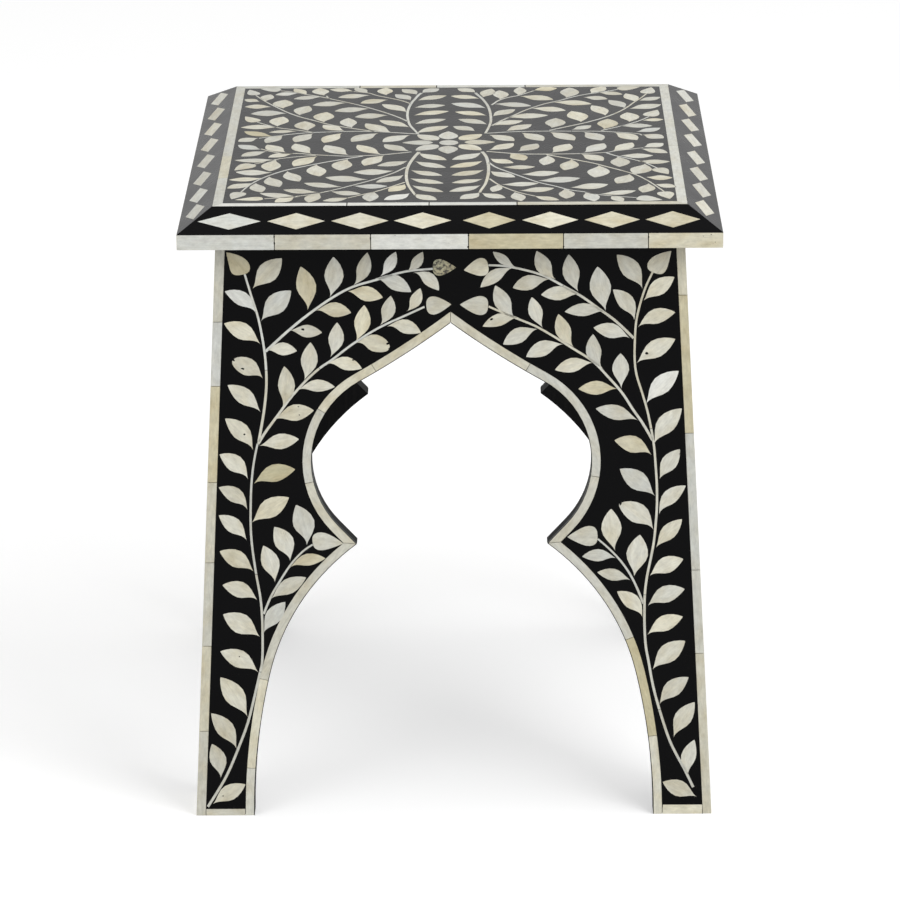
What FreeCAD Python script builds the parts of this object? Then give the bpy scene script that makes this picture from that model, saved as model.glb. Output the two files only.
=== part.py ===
"""Kursi stool: a square bevelled top on four splayed panels, each cut with a cusped keel arch.

The wooden carcass carries a thin skin of black resin and inlaid bone strips.
The frame's origin is on the floor under the middle of the top, with +Z up and the front facing -Y.
"""
import FreeCAD, Part
import math
import os
import Sketcher

Vector = FreeCAD.Vector

# Driving sizes in millimetres, degrees and counts: name, value, meaning
SIZES = [
    ("top_width", 380, "side of the square top over the rim"),
    ("total_height", 455, "floor to the top face"),
    ("rim_height", 11, "upright bone band round the rim"),
    ("bevel_rise", 14, "height of the bevel above the rim"),
    ("bevel_run", 24, "width of the bevel seen from above"),
    ("border_width", 7, "bone border strip round the top field"),
    ("skin_thickness", 2, "resin and bone layer over the wood"),
    ("seam_gap", 0.3, "resin line between two bone pieces end to end"),
    ("overhang", 25.5, "rim of the top outside the frame's head"),
    ("foot_inset", 2.5, "rim of the top outside the frame's feet"),
    ("panel_thickness", 14, "side panel with its skin"),
    ("edge_strip_width", 7, "bone strip along the panel's mitred edges"),
    ("arch_band_width", 6.5, "bone band that follows the arch"),
    ("foot_strip_height", 5, "bone strip across the foot"),
    ("leg_width", 42.5, "foot of a leg, from the panel's edge to the arch"),
    ("lobe_inset", 45.5, "lobe of the arch inside the feet, on each side"),
    ("lobe_drop", 163.1, "widest point of the lobe under the panel's head"),
    ("flare_drop", 271, "start of the leg's lower curve under the widest point of the lobe"),
    ("flare_radius", 484, "lower curve of the leg"),
    ("flare_sweep", 13.52, "angle that the lower curve turns through"),
    ("shoulder_radius", 172, "upper curve of the leg, up to the cusp"),
    ("lobe_radius", 68.5, "round part of the lobe"),
    ("fall_slope", 47, "slope of the straight fall from the lobe to the cusp"),
    ("keel_angle", 60.3, "turn of the lobe where the keel curve begins"),
    ("keel_radius", 620, "reversed curve up to the point of the arch"),
    ("lozenge_width", 17, "bone lozenge in the bevel, up the slope"),
    ("lozenge_gap", 4.3, "resin from the tip of one lozenge to the next"),
    ("lozenge_count", 8, "lozenges in each bevel"),
    ("row_inset", 12.8, "row of lozenges, with half a gap at each end, inside the top's corners"),
    ("cleat_width", 20, "batten under the top, inwards"),
    ("cleat_depth", 18, "batten under the top, downwards"),
    ("cleat_gap", 6.5, "end of a batten to the glue block"),
    ("block_size", 24, "glue block in the corner of the frame"),
    ("block_height", 110, "glue block, downwards"),
    ("screw_shank", 4, "diameter of the screw's shank"),
    ("screw_head", 8.5, "diameter of the screw's head"),
    ("screw_head_height", 3, "thickness of the screw's head"),
    ("screw_length", 34, "screw under its head"),
    ("screw_tip", 4, "length of the screw's point"),
    ("hole_clearance", 0.2, "screw hole over the shank's diameter"),
    ("overrun", 10, "cuts run this far past the material"),
]
SIZE = {name: value for name, value, meaning in SIZES}

# Sizes worked out from the driving ones: name, property type, formula
WORKED = [
    ("half_top", "Float", "dims.top_width / 2"),
    ("underside", "Float", "dims.total_height - dims.bevel_rise - dims.rim_height"),
    ("rim_top", "Float", "dims.total_height - dims.bevel_rise"),
    ("half_crown", "Float", "dims.top_width / 2 - dims.bevel_run"),
    ("bevel_slope", "Angle", "atan(dims.bevel_rise / dims.bevel_run)"),
    ("half_board", "Float", "dims.top_width / 2 - dims.skin_thickness"),
    ("slant_skin", "Float", "dims.skin_thickness / cos(worked.bevel_slope)"),
    ("board_rim_top", "Float",
     "worked.rim_top + dims.skin_thickness * tan(worked.bevel_slope) - worked.slant_skin"),
    ("board_top", "Float", "dims.total_height - dims.skin_thickness"),
    ("half_board_top", "Float",
     "worked.half_top - (worked.board_top - worked.rim_top + worked.slant_skin) / tan(worked.bevel_slope)"),
    ("half_foot", "Float", "worked.half_top - dims.foot_inset"),
    ("lean", "Angle", "atan((dims.overhang - dims.foot_inset) / worked.underside)"),
    ("head_height", "Float", "worked.underside / cos(worked.lean)"),
    ("head_inside", "Float",
     "worked.half_top - dims.overhang - dims.panel_thickness / cos(worked.lean)"),
    ("screw_reach", "Float", "worked.head_inside - dims.cleat_width / 2"),
    ("cleat_length", "Float", "2 * (worked.head_inside - dims.block_size - dims.cleat_gap)"),
    ("cleat_bottom", "Float", "worked.underside - dims.cleat_depth"),
    ("lozenge_pitch", "Float", "(dims.top_width - 2 * dims.row_inset) / dims.lozenge_count"),
    ("lozenge_length", "Float", "worked.lozenge_pitch - dims.lozenge_gap"),
    ("half_gap", "Float", "worked.half_foot - dims.leg_width"),
    ("half_lobe", "Float", "worked.half_gap - dims.lobe_inset"),
    ("lobe_x", "Float", "worked.half_lobe - dims.lobe_radius"),
    ("lobe_y", "Float", "worked.head_height - dims.lobe_drop"),
    ("flare_x", "Float", "worked.half_gap - dims.flare_radius"),
    ("flare_y", "Float", "worked.lobe_y - dims.flare_drop"),
    ("post_low", "Float", "min(worked.flare_y; 0) - dims.overrun"),
    ("shoulder_x", "Float",
     "worked.flare_x + (dims.flare_radius - dims.shoulder_radius) * cos(dims.flare_sweep)"),
    ("shoulder_y", "Float",
     "worked.flare_y + (dims.flare_radius - dims.shoulder_radius) * sin(dims.flare_sweep)"),
    ("fall_reach", "Float",
     "(worked.lobe_x - worked.shoulder_x) * sin(dims.fall_slope)"
     " - (worked.lobe_y - worked.shoulder_y) * cos(dims.fall_slope) + dims.lobe_radius"),
    ("fall_chord", "Float", "sqrt(dims.shoulder_radius ^ 2 - worked.fall_reach ^ 2)"),
    ("cusp_x", "Float",
     "worked.shoulder_x + worked.fall_reach * sin(dims.fall_slope)"
     " + worked.fall_chord * cos(dims.fall_slope)"),
    ("cusp_y", "Float",
     "worked.shoulder_y - worked.fall_reach * cos(dims.fall_slope)"
     " + worked.fall_chord * sin(dims.fall_slope)"),
    ("keel_x", "Float",
     "worked.lobe_x + (dims.lobe_radius + dims.keel_radius) * cos(dims.keel_angle)"),
    ("keel_y", "Float",
     "worked.lobe_y + (dims.lobe_radius + dims.keel_radius) * sin(dims.keel_angle)"),
]

# Turn of each side about the upright axis
SIDES = {"front": 0, "right": 90, "back": 180, "left": 270}
CORNERS = {"front_left": 0, "front_right": 90, "back_right": 180, "back_left": 270}

# Places of the seams, as shares of the half width or height that they part
RIM_SEAM_SHARES = (-0.64, -0.29, 0.07, 0.42, 0.73)
BORDER_SEAM_SHARES = (-0.43, -0.09, 0.28)
EDGE_SEAM_SHARES = (0.15, 0.30, 0.45, 0.59, 0.75, 0.87)
ARCH_SEAM_SHARES = (0.135, 0.39, 0.94)
KEEL_SEAM_SHARES = (-0.54, 0, 0.54)


def add_sizes(doc):
    """The driving sizes as cells with aliases, and the worked-out sizes bound to them."""
    sheet = doc.addObject("Spreadsheet::Sheet", "dims")
    for row, (name, value, meaning) in enumerate(SIZES, start=1):
        sheet.set(f"A{row}", meaning)
        sheet.set(f"B{row}", str(value))
        sheet.setAlias(f"B{row}", name)
    doc.recompute()
    worked = doc.addObject("App::VarSet", "worked")
    for name, kind, formula in WORKED:
        worked.addProperty(f"App::Property{kind}", name, "Worked out")
    for name, kind, formula in WORKED:
        worked.setExpression(name, formula)
    doc.recompute()


def new_body(doc, label, turn=0):
    """A sub-part turned about the upright axis."""
    body = doc.addObject("PartDesign::Body", label)
    body.Label = label
    body.AllowCompound = True
    body.Placement.Rotation = FreeCAD.Rotation(Vector(0, 0, 1), turn)
    return body


def origin_feature(body, role):
    """One of the body's own origin planes or axes."""
    return next(item for item in body.Origin.OriginFeatures if item.Role == role)


def new_sketch(body, name, plane="XY_Plane", offset=None):
    """A sketch on an origin plane of its body, moved by an offset formula."""
    sketch = body.newObject("Sketcher::SketchObject", name)
    sketch.AttachmentSupport = [(origin_feature(body, plane), "")]
    sketch.MapMode = "FlatFace"
    if offset:
        sketch.setExpression("AttachmentOffset", offset)
    return sketch


def lifted(height):
    """Offset formula of a sketch that lies above its plane."""
    return f"placement(vector(0; 0; {height}); rotationz(0))"


def panel_plane():
    """Offset formula of a sketch on the front panel's outer face, with its origin on the floor."""
    return "placement(vector(0; -worked.half_foot; 0); rotationx(90 deg - worked.lean))"


def bevel_plane():
    """Offset formula of a sketch on the front bevel, with its origin on the rim's edge."""
    return "placement(vector(0; -worked.half_top; worked.rim_top); rotationx(worked.bevel_slope))"


def hold(sketch, curve, end, across=None, up=None):
    """Bind a point's distances from the sketch's origin to formulas."""
    start = sketch.getPoint(curve, end)
    for kind, formula, distance in (("DistanceX", across, start.x), ("DistanceY", up, start.y)):
        if formula is not None:
            index = sketch.addConstraint(Sketcher.Constraint(kind, -1, 1, curve, end, distance))
            sketch.setExpression(f"Constraints[{index}]", str(formula))


def add_polygon(sketch, corners):
    """A closed outline whose corners are held at the given formulas."""
    first = sketch.GeometryCount
    count = len(corners)
    turns = [2 * math.pi * step / count for step in range(count)]
    ring = [Vector(math.cos(turn), math.sin(turn), 0) for turn in turns]
    for step in range(count):
        sketch.addGeometry(Part.LineSegment(ring[step], ring[(step + 1) % count]), False)
    for step, (across, up) in enumerate(corners):
        following = first + (step + 1) % count
        sketch.addConstraint(Sketcher.Constraint("Coincident", first + step, 2, following, 1))
        hold(sketch, first + step, 1, across, up)


def add_rectangle(sketch, left, right, low, high):
    """A closed outline with upright sides."""
    add_polygon(sketch, [(left, low), (right, low), (right, high), (left, high)])


def add_circle(sketch, across, up, diameter):
    """A circle held at the given formulas."""
    circle = sketch.addGeometry(Part.Circle(Vector(0, 0, 0), Vector(0, 0, 1), 1), False)
    hold(sketch, circle, 3, across, up)
    index = sketch.addConstraint(Sketcher.Constraint("Diameter", circle, 1))
    sketch.setExpression(f"Constraints[{index}]", diameter)


def add_pad(body, sketch, length, into=False, both_ways=False):
    """Raise a sketch by a length, downwards if it goes into its plane."""
    pad = body.newObject("PartDesign::Pad", f"{sketch.Name}_pad")
    pad.Profile = sketch
    pad.setExpression("Length", length)
    pad.Reversed = into
    pad.Midplane = both_ways
    return pad


def add_pocket(body, sketch, length=None, upwards=False):
    """Cut a sketch through the whole body both ways, or to a length on one side."""
    pocket = body.newObject("PartDesign::Pocket", f"{sketch.Name}_cut")
    pocket.Profile = sketch
    if length:
        pocket.setExpression("Length", length)
        pocket.Reversed = upwards
    else:
        pocket.Type = "ThroughAll"
        pocket.Midplane = True
    return pocket


def add_loft(body, name, lower, upper):
    """A solid with flat sides between two sketches."""
    loft = body.newObject("PartDesign::AdditiveLoft", name)
    loft.Profile = lower
    loft.Sections = [upper]
    loft.Ruled = True
    return loft


def add_mirror(body, feature):
    """Repeat a feature on the other side of the body's middle."""
    mirror = body.newObject("PartDesign::Mirrored", f"{feature.Name}_mirror")
    mirror.Originals = [feature]
    mirror.MirrorPlane = (origin_feature(body, "YZ_Plane"), [""])
    body.Tip = mirror


def add_row(body, feature):
    """Repeat a feature along the side at the lozenges' pitch."""
    row = body.newObject("PartDesign::LinearPattern", f"{feature.Name}_row")
    row.Originals = [feature]
    row.Direction = (origin_feature(body, "X_Axis"), [""])
    row.setExpression("Length", "(dims.lozenge_count - 1) * worked.lozenge_pitch")
    row.setExpression("Occurrences", "dims.lozenge_count")
    body.Tip = row


def add_ring(body, feature):
    """Repeat a feature on all four sides of the stool."""
    ring = body.newObject("PartDesign::PolarPattern", f"{feature.Name}_ring")
    ring.Originals = [feature]
    ring.Axis = (origin_feature(body, "Z_Axis"), [""])
    ring.Occurrences = len(SIDES)
    body.Tip = ring


def cut_mitres(body, inset="0"):
    """Cut both ends of a side's piece at 45 degrees in plan, an inset short of the next side."""
    sketch = new_sketch(body, f"{body.Name}_mitre")
    outside = "(worked.half_top + dims.overrun)"
    add_polygon(sketch, [
        (f"-{inset}", 0),
        (f"{outside} - {inset}", f"-{outside}"),
        (f"{outside} - {inset}", 0),
    ])
    add_mirror(body, add_pocket(body, sketch))


def cut_upright_seams(body, places, low, high, offset=None):
    """Part bone strips by upright slots of the seam's width at places across the side."""
    sketch = new_sketch(body, f"{body.Name}_upright_seams", offset=offset)
    for place in places:
        add_rectangle(sketch, f"{place} - dims.seam_gap / 2", f"{place} + dims.seam_gap / 2", low, high)
    add_pocket(body, sketch)


def cut_level_seams(body, places):
    """Part the bone strips of a panel by level slots of the seam's width at places up its face."""
    sketch = new_sketch(body, f"{body.Name}_level_seams", offset=panel_plane())
    for place in places:
        add_rectangle(sketch, "-worked.half_foot", "worked.half_foot",
                      f"{place} - dims.seam_gap / 2", f"{place} + dims.seam_gap / 2")
    add_pocket(body, sketch)


def add_arch_run(sketch, spread="0"):
    """Half of the arch's outline, from below the floor up to its point on the middle line.

    The leg's flare and shoulder meet the lobe's straight fall at the cusp, and the round lobe
    turns back into the keel curve. A spread moves the whole run outwards into the panel.
    Returns the post at the floor and the keel, whose first points are the run's ends.
    """
    worked = sketch.Document.worked
    wider = SIZE.get(spread.removeprefix("dims."), 0)
    sweep = math.radians(SIZE["flare_sweep"])
    fall = math.radians(SIZE["fall_slope"])
    turn = math.radians(SIZE["keel_angle"])
    flare = Vector(worked.flare_x, worked.flare_y)
    shoulder = Vector(worked.shoulder_x, worked.shoulder_y)
    cusp = Vector(worked.cusp_x, worked.cusp_y)
    lobe = Vector(worked.lobe_x, worked.lobe_y)
    keel = Vector(worked.keel_x, worked.keel_y)
    flare_radius = SIZE["flare_radius"] + wider
    shoulder_radius = SIZE["shoulder_radius"] + wider
    lobe_radius = SIZE["lobe_radius"] + wider
    keel_radius = SIZE["keel_radius"] - wider
    foot = flare + Vector(flare_radius, 0)
    cusp_turn = math.atan2(cusp.y - shoulder.y, cusp.x - shoulder.x)
    point_turn = math.pi + math.acos(keel.x / keel_radius)

    def line(start, end):
        return sketch.addGeometry(Part.LineSegment(start, end), False)

    def arc(centre, radius, start, end):
        circle = Part.Circle(centre, Vector(0, 0, 1), radius)
        return sketch.addGeometry(Part.ArcOfCircle(circle, start, end), False)

    def hold_radius(curve, radius, formula):
        index = sketch.addConstraint(Sketcher.Constraint("Radius", curve, radius))
        sketch.setExpression(f"Constraints[{index}]", formula)

    post = line(Vector(foot.x, worked.post_low), foot)
    flare_arc = arc(flare, flare_radius, 0, sweep)
    shoulder_arc = arc(shoulder, shoulder_radius, sweep, cusp_turn)
    fall_line = line(cusp, lobe + Vector(math.sin(fall), -math.cos(fall)) * lobe_radius)
    lobe_arc = arc(lobe, lobe_radius, fall - math.pi / 2, turn)
    keel_arc = arc(keel, keel_radius, point_turn, turn + math.pi)

    hold(sketch, post, 1, f"worked.half_gap + {spread}", "worked.post_low")
    hold(sketch, post, 2, f"worked.half_gap + {spread}", "worked.flare_y")
    sketch.addConstraint(Sketcher.Constraint("Coincident", post, 2, flare_arc, 1))
    hold(sketch, flare_arc, 3, "worked.flare_x", "worked.flare_y")
    sketch.addConstraint(Sketcher.Constraint("Tangent", flare_arc, 2, shoulder_arc, 1))
    hold_radius(shoulder_arc, shoulder_radius, f"dims.shoulder_radius + {spread}")
    hold(sketch, shoulder_arc, 3, up="worked.shoulder_y")
    sketch.addConstraint(Sketcher.Constraint("Coincident", shoulder_arc, 2, fall_line, 1))
    hold(sketch, lobe_arc, 3, "worked.lobe_x", "worked.lobe_y")
    hold_radius(lobe_arc, lobe_radius, f"dims.lobe_radius + {spread}")
    hold(sketch, lobe_arc, 1,
         up=f"worked.lobe_y - (dims.lobe_radius + {spread}) * cos(dims.fall_slope)")
    sketch.addConstraint(Sketcher.Constraint("Tangent", fall_line, 2, lobe_arc, 1))
    sketch.addConstraint(Sketcher.Constraint("Tangent", lobe_arc, 2, keel_arc, 2))
    hold_radius(keel_arc, keel_radius, f"dims.keel_radius - {spread}")
    hold(sketch, lobe_arc, 2,
         up=f"worked.lobe_y + (dims.lobe_radius + {spread}) * sin(dims.keel_angle)")
    hold(sketch, keel_arc, 1, across=0)
    return post, keel_arc


def join(sketch, curve, other):
    """Close a gap in an outline by a line between the first points of two curves."""
    line = sketch.addGeometry(Part.LineSegment(Vector(0, 0), Vector(1, 1)), False)
    sketch.addConstraint(Sketcher.Constraint("Coincident", line, 1, curve, 1))
    sketch.addConstraint(Sketcher.Constraint("Coincident", line, 2, other, 1))


def cut_arch(body, spread="0"):
    """Cut the arch through a panel piece, spread outwards to leave room for the bone band."""
    sketch = new_sketch(body, f"{body.Name}_arch", offset=panel_plane())
    post, keel = add_arch_run(sketch, spread)
    low = sketch.Document.worked.post_low
    axis = sketch.addGeometry(Part.LineSegment(Vector(0, low), Vector(0, 0)), False)
    hold(sketch, axis, 1, 0, "worked.post_low")
    sketch.addConstraint(Sketcher.Constraint("Coincident", axis, 2, keel, 1))
    join(sketch, axis, post)
    add_mirror(body, add_pocket(body, sketch))


def at_height(height, depth):
    """Formulas of a point of the panel's section: its height and its depth under the outer face."""
    return f"{height} * tan(worked.lean) + {depth} / cos(worked.lean) - worked.half_foot", height


def up_face(rise, depth):
    """Formulas of a point of the panel's section: how far up the outer face, and its depth."""
    return (f"{rise} * sin(worked.lean) + {depth} * cos(worked.lean) - worked.half_foot",
            f"{rise} * cos(worked.lean) - {depth} * sin(worked.lean)")


def add_slab(body, section, inset="0"):
    """A leaning slab with the given corners of its section, mitred against the next sides."""
    sketch = new_sketch(body, f"{body.Name}_section", "YZ_Plane")
    add_polygon(sketch, section)
    add_pad(body, sketch, "2 * worked.half_foot", both_ways=True)
    cut_mitres(body, inset)


def make_panel_core(doc, side, turn):
    """Wooden panel of one side, mitred at its upright edges and cut with the arch."""
    body = new_body(doc, f"panel_core_{side}", turn)
    add_slab(body, [
        at_height("0", "dims.skin_thickness"),
        at_height("0", "dims.panel_thickness"),
        at_height("worked.underside", "dims.panel_thickness"),
        at_height("worked.underside", "dims.skin_thickness"),
    ])
    cut_arch(body)


def make_panel_facing(doc, side, turn):
    """Black resin sheet between the bone strips of one panel."""
    body = new_body(doc, f"panel_facing_{side}", turn)
    add_slab(body, [
        up_face("dims.foot_strip_height", "0"),
        up_face("dims.foot_strip_height", "dims.skin_thickness"),
        at_height("worked.underside", "dims.skin_thickness"),
        at_height("worked.underside", "0"),
    ], inset="dims.edge_strip_width")
    cut_arch(body, "dims.arch_band_width")


def make_edge_strips(doc, side, turn):
    """Bone strips along both mitred edges of one panel, in short lengths."""
    body = new_body(doc, f"edge_strips_{side}", turn)
    add_slab(body, [
        at_height("0", "0"),
        at_height("0", "dims.skin_thickness"),
        at_height("worked.underside", "dims.skin_thickness"),
        at_height("worked.underside", "0"),
    ])
    middle = new_sketch(body, f"{body.Name}_middle")
    outside = "(worked.half_top + dims.overrun)"
    add_polygon(middle, [
        (0, "-dims.edge_strip_width"),
        (f"dims.edge_strip_width - {outside}", f"-{outside}"),
        (f"{outside} - dims.edge_strip_width", f"-{outside}"),
    ])
    add_pocket(body, middle)
    cut_level_seams(body, [f"worked.underside * {share}" for share in EDGE_SEAM_SHARES])


def make_foot_strips(doc, side, turn):
    """Short bone strips across the two feet of one panel."""
    body = new_body(doc, f"foot_strips_{side}", turn)
    add_slab(body, [
        at_height("0", "0"),
        at_height("0", "dims.skin_thickness"),
        up_face("dims.foot_strip_height", "dims.skin_thickness"),
        up_face("dims.foot_strip_height", "0"),
    ], inset="dims.edge_strip_width")
    cut_arch(body, "dims.arch_band_width")


def make_arch_band(doc, side, turn):
    """Bone band that follows the arch from foot to foot, in short lengths mitred at the cusps."""
    body = new_body(doc, f"arch_band_{side}", turn)
    outline = new_sketch(body, f"{body.Name}_outline", offset=panel_plane())
    inner_post, inner_keel = add_arch_run(outline)
    outer_post, outer_keel = add_arch_run(outline, "dims.arch_band_width")
    join(outline, inner_post, outer_post)
    join(outline, inner_keel, outer_keel)
    add_mirror(body, add_pad(body, outline, "dims.skin_thickness", into=True))
    floor = new_sketch(body, f"{body.Name}_floor", "YZ_Plane")
    add_rectangle(floor, "worked.post_low - worked.half_foot", "dims.overrun - worked.half_foot",
                  "worked.post_low - dims.overrun", "0")
    add_pocket(body, floor)
    leg_places = [f"worked.lobe_y * {share}" for share in ARCH_SEAM_SHARES]
    cut_level_seams(body, leg_places + ["worked.cusp_y"])
    cut_upright_seams(body, [f"worked.half_lobe * {share}" for share in KEEL_SEAM_SHARES],
                      "worked.lobe_y", "worked.head_height", panel_plane())


def make_board(doc):
    """Wooden board of the top with its bevel and the pilot holes for the cleats' screws."""
    body = new_body(doc, "top_board")
    levels = [("rim", "worked.underside", "worked.half_board"),
              ("shoulder", "worked.board_rim_top", "worked.half_board"),
              ("crown", "worked.board_top", "worked.half_board_top")]
    squares = []
    for name, level, half in levels:
        square = new_sketch(body, f"board_{name}", offset=lifted(level))
        add_rectangle(square, f"-{half}", half, f"-{half}", half)
        squares.append(square)
    add_pad(body, squares[0], "worked.board_rim_top - worked.underside")
    add_loft(body, "board_bevel", squares[1], squares[2])
    hole = new_sketch(body, "pilot_hole", offset=lifted("worked.underside"))
    add_circle(hole, 0, "-worked.screw_reach", "dims.screw_shank + dims.hole_clearance")
    depth = "dims.screw_length - dims.cleat_depth + dims.hole_clearance"
    add_ring(body, add_pocket(body, hole, depth, upwards=True))


def make_field(doc):
    """Black resin sheet of the top inside its bone border."""
    body = new_body(doc, "top_field")
    square = new_sketch(body, "field_square", offset=lifted("dims.total_height"))
    half = "(worked.half_crown - dims.border_width)"
    add_rectangle(square, f"-{half}", half, f"-{half}", half)
    add_pad(body, square, "dims.skin_thickness", into=True)


def make_strip(doc, label, turn, half, width, level, height, into, seam_shares):
    """A straight bone strip of the top, mitred at its ends and in short lengths."""
    body = new_body(doc, label, turn)
    plan = new_sketch(body, f"{label}_plan", offset=lifted(level))
    inner = f"({half} - {width})"
    add_polygon(plan, [(f"-{half}", f"-{half}"), (half, f"-{half}"),
                       (inner, f"-{inner}"), (f"-{inner}", f"-{inner}")])
    add_pad(body, plan, height, into=into)
    cut_upright_seams(body, [f"{half} * {share}" for share in seam_shares],
                      f"-{half} - dims.overrun", f"-{inner} + dims.overrun")


def add_lozenge(body):
    """Sketch of the first lozenge of a bevel's row, centred on the slope."""
    sketch = new_sketch(body, f"{body.Name}_lozenge", offset=bevel_plane())
    middle = "dims.bevel_run / cos(worked.bevel_slope) / 2"
    start = "-(dims.lozenge_count - 1) * worked.lozenge_pitch / 2"
    add_polygon(sketch, [
        (f"{start} - worked.lozenge_length / 2", middle),
        (start, f"{middle} - dims.lozenge_width / 2"),
        (f"{start} + worked.lozenge_length / 2", middle),
        (start, f"{middle} + dims.lozenge_width / 2"),
    ])
    return sketch


def make_bevel_facing(doc, side, turn):
    """Black resin skin of one bevel, mitred at its ends, with a recess for each lozenge."""
    body = new_body(doc, f"bevel_facing_{side}", turn)
    section = new_sketch(body, f"{body.Name}_section", "YZ_Plane")
    add_polygon(section, [
        ("-worked.half_top", "worked.rim_top"),
        ("-worked.half_board", "worked.rim_top"),
        ("-worked.half_board", "worked.board_rim_top"),
        ("-worked.half_crown", "dims.total_height - worked.slant_skin"),
        ("-worked.half_crown", "dims.total_height"),
    ])
    add_pad(body, section, "dims.top_width", both_ways=True)
    cut_mitres(body)
    recess = add_pocket(body, add_lozenge(body), "dims.skin_thickness")
    add_row(body, recess)


def make_lozenges(doc, side, turn):
    """Bone lozenges of one bevel."""
    body = new_body(doc, f"bevel_lozenges_{side}", turn)
    add_row(body, add_pad(body, add_lozenge(body), "dims.skin_thickness", into=True))


def make_cleat(doc, side, turn):
    """Batten glued to a panel's head and screwed to the board from below."""
    body = new_body(doc, f"top_cleat_{side}", turn)
    section = new_sketch(body, f"{body.Name}_section", "YZ_Plane")
    inner = "-worked.head_inside + dims.cleat_width"
    add_polygon(section, [
        ("-worked.head_inside", "worked.underside"),
        (inner, "worked.underside"),
        (inner, "worked.cleat_bottom"),
        ("-worked.head_inside - dims.cleat_depth * tan(worked.lean)", "worked.cleat_bottom"),
    ])
    add_pad(body, section, "worked.cleat_length", both_ways=True)
    hole = new_sketch(body, f"{body.Name}_hole")
    add_circle(hole, 0, "-worked.screw_reach", "dims.screw_shank + dims.hole_clearance")
    add_pocket(body, hole)


def make_corner_block(doc, corner, turn):
    """Glue block that leans in the corner between two panels."""
    body = new_body(doc, f"corner_block_{corner}", turn)
    squares = []
    for name, drop in (("head", "0"), ("tail", "dims.block_height")):
        square = new_sketch(body, f"{body.Name}_{name}", offset=lifted(f"worked.underside - {drop}"))
        outer = f"-worked.head_inside - {drop} * tan(worked.lean)"
        inner = f"{outer} + dims.block_size"
        add_rectangle(square, outer, inner, outer, inner)
        squares.append(square)
    add_loft(body, f"{body.Name}_solid", *squares)


def make_screws(doc):
    """Wood screws in the middle of the cleats, with their heads under the cleats."""
    body = new_body(doc, "cleat_screws")
    profile = new_sketch(body, "screw_profile", "XZ_Plane", lifted("worked.screw_reach"))
    add_polygon(profile, [
        (0, "worked.cleat_bottom - dims.screw_head_height"),
        ("dims.screw_head / 2", "worked.cleat_bottom - dims.screw_head_height"),
        ("dims.screw_head / 2", "worked.cleat_bottom"),
        ("dims.screw_shank / 2", "worked.cleat_bottom"),
        ("dims.screw_shank / 2", "worked.cleat_bottom + dims.screw_length - dims.screw_tip"),
        (0, "worked.cleat_bottom + dims.screw_length"),
    ])
    screw = body.newObject("PartDesign::Revolution", "screw_turned")
    screw.Profile = profile
    screw.ReferenceAxis = (profile, ["V_Axis"])
    screw.Angle = 360
    add_ring(body, screw)


def removes_some(pocket):
    """Whether a pocket leaves less than it found."""
    before, after = pocket.BaseFeature.Shape, pocket.Shape
    return not before.isNull() and not after.isNull() and after.Volume < before.Volume


def failures(doc):
    """Everything that failed to build, as lines of text."""
    found = []
    for item in doc.Objects:
        if {"Invalid", "Error"} & set(item.State):
            found.append(f"{item.Name}: {item.State}")
        elif item.TypeId == "PartDesign::Pocket" and not removes_some(item):
            found.append(f"{item.Name}: cuts nothing")
        if item.TypeId == "PartDesign::Body" and (item.Shape.isNull() or not item.Shape.isValid()):
            found.append(f"{item.Name}: no valid shape")
    return found


def main():
    """Build the document, check it and write one file for each sub-part."""
    doc = FreeCAD.newDocument("kursi_stool")
    add_sizes(doc)
    make_board(doc)
    make_field(doc)
    make_screws(doc)
    for side, turn in SIDES.items():
        make_strip(doc, f"top_border_{side}", turn, "worked.half_crown", "dims.border_width",
                   "dims.total_height", "dims.skin_thickness", True, BORDER_SEAM_SHARES)
        make_strip(doc, f"rim_band_{side}", turn, "worked.half_top", "dims.skin_thickness",
                   "worked.underside", "dims.rim_height", False, RIM_SEAM_SHARES)
        make_bevel_facing(doc, side, turn)
        make_lozenges(doc, side, turn)
        make_panel_core(doc, side, turn)
        make_panel_facing(doc, side, turn)
        make_edge_strips(doc, side, turn)
        make_foot_strips(doc, side, turn)
        make_arch_band(doc, side, turn)
        make_cleat(doc, side, turn)
    for corner, turn in CORNERS.items():
        make_corner_block(doc, corner, turn)
    doc.recompute()

    found = failures(doc)
    if found:
        raise RuntimeError("\n".join(found))
    os.makedirs("parts", exist_ok=True)
    for item in doc.Objects:
        if item.TypeId == "PartDesign::Body":
            item.Shape.exportStep(f"parts/{item.Label}.step")


main()
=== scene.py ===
"""Moroccan kursi stool: a four-legged table of black resin inlaid with bone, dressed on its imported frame."""

import logging
import math
import random
from collections.abc import Iterable, Sequence
from dataclasses import dataclass, field, replace
from enum import Enum
from itertools import zip_longest

import bmesh
import bpy
from mathutils import Matrix, Vector


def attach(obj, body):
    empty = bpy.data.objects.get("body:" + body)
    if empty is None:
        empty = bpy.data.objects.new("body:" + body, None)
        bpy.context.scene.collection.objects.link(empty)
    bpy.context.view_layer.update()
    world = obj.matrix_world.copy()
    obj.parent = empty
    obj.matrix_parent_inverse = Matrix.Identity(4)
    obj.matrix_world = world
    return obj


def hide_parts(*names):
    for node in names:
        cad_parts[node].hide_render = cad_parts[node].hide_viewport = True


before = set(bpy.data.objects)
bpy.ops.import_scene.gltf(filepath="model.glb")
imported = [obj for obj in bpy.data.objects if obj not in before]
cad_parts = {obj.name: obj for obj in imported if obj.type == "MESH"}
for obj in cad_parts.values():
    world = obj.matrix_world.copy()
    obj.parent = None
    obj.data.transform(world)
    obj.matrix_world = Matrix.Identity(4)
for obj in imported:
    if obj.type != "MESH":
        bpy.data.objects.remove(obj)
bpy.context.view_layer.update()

log = logging.getLogger("kursi_stool")

MM = 0.001

Pair = tuple[float, float]
Span = tuple[float, float, float, float]
Colour = tuple[float, float, float, float]


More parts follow.
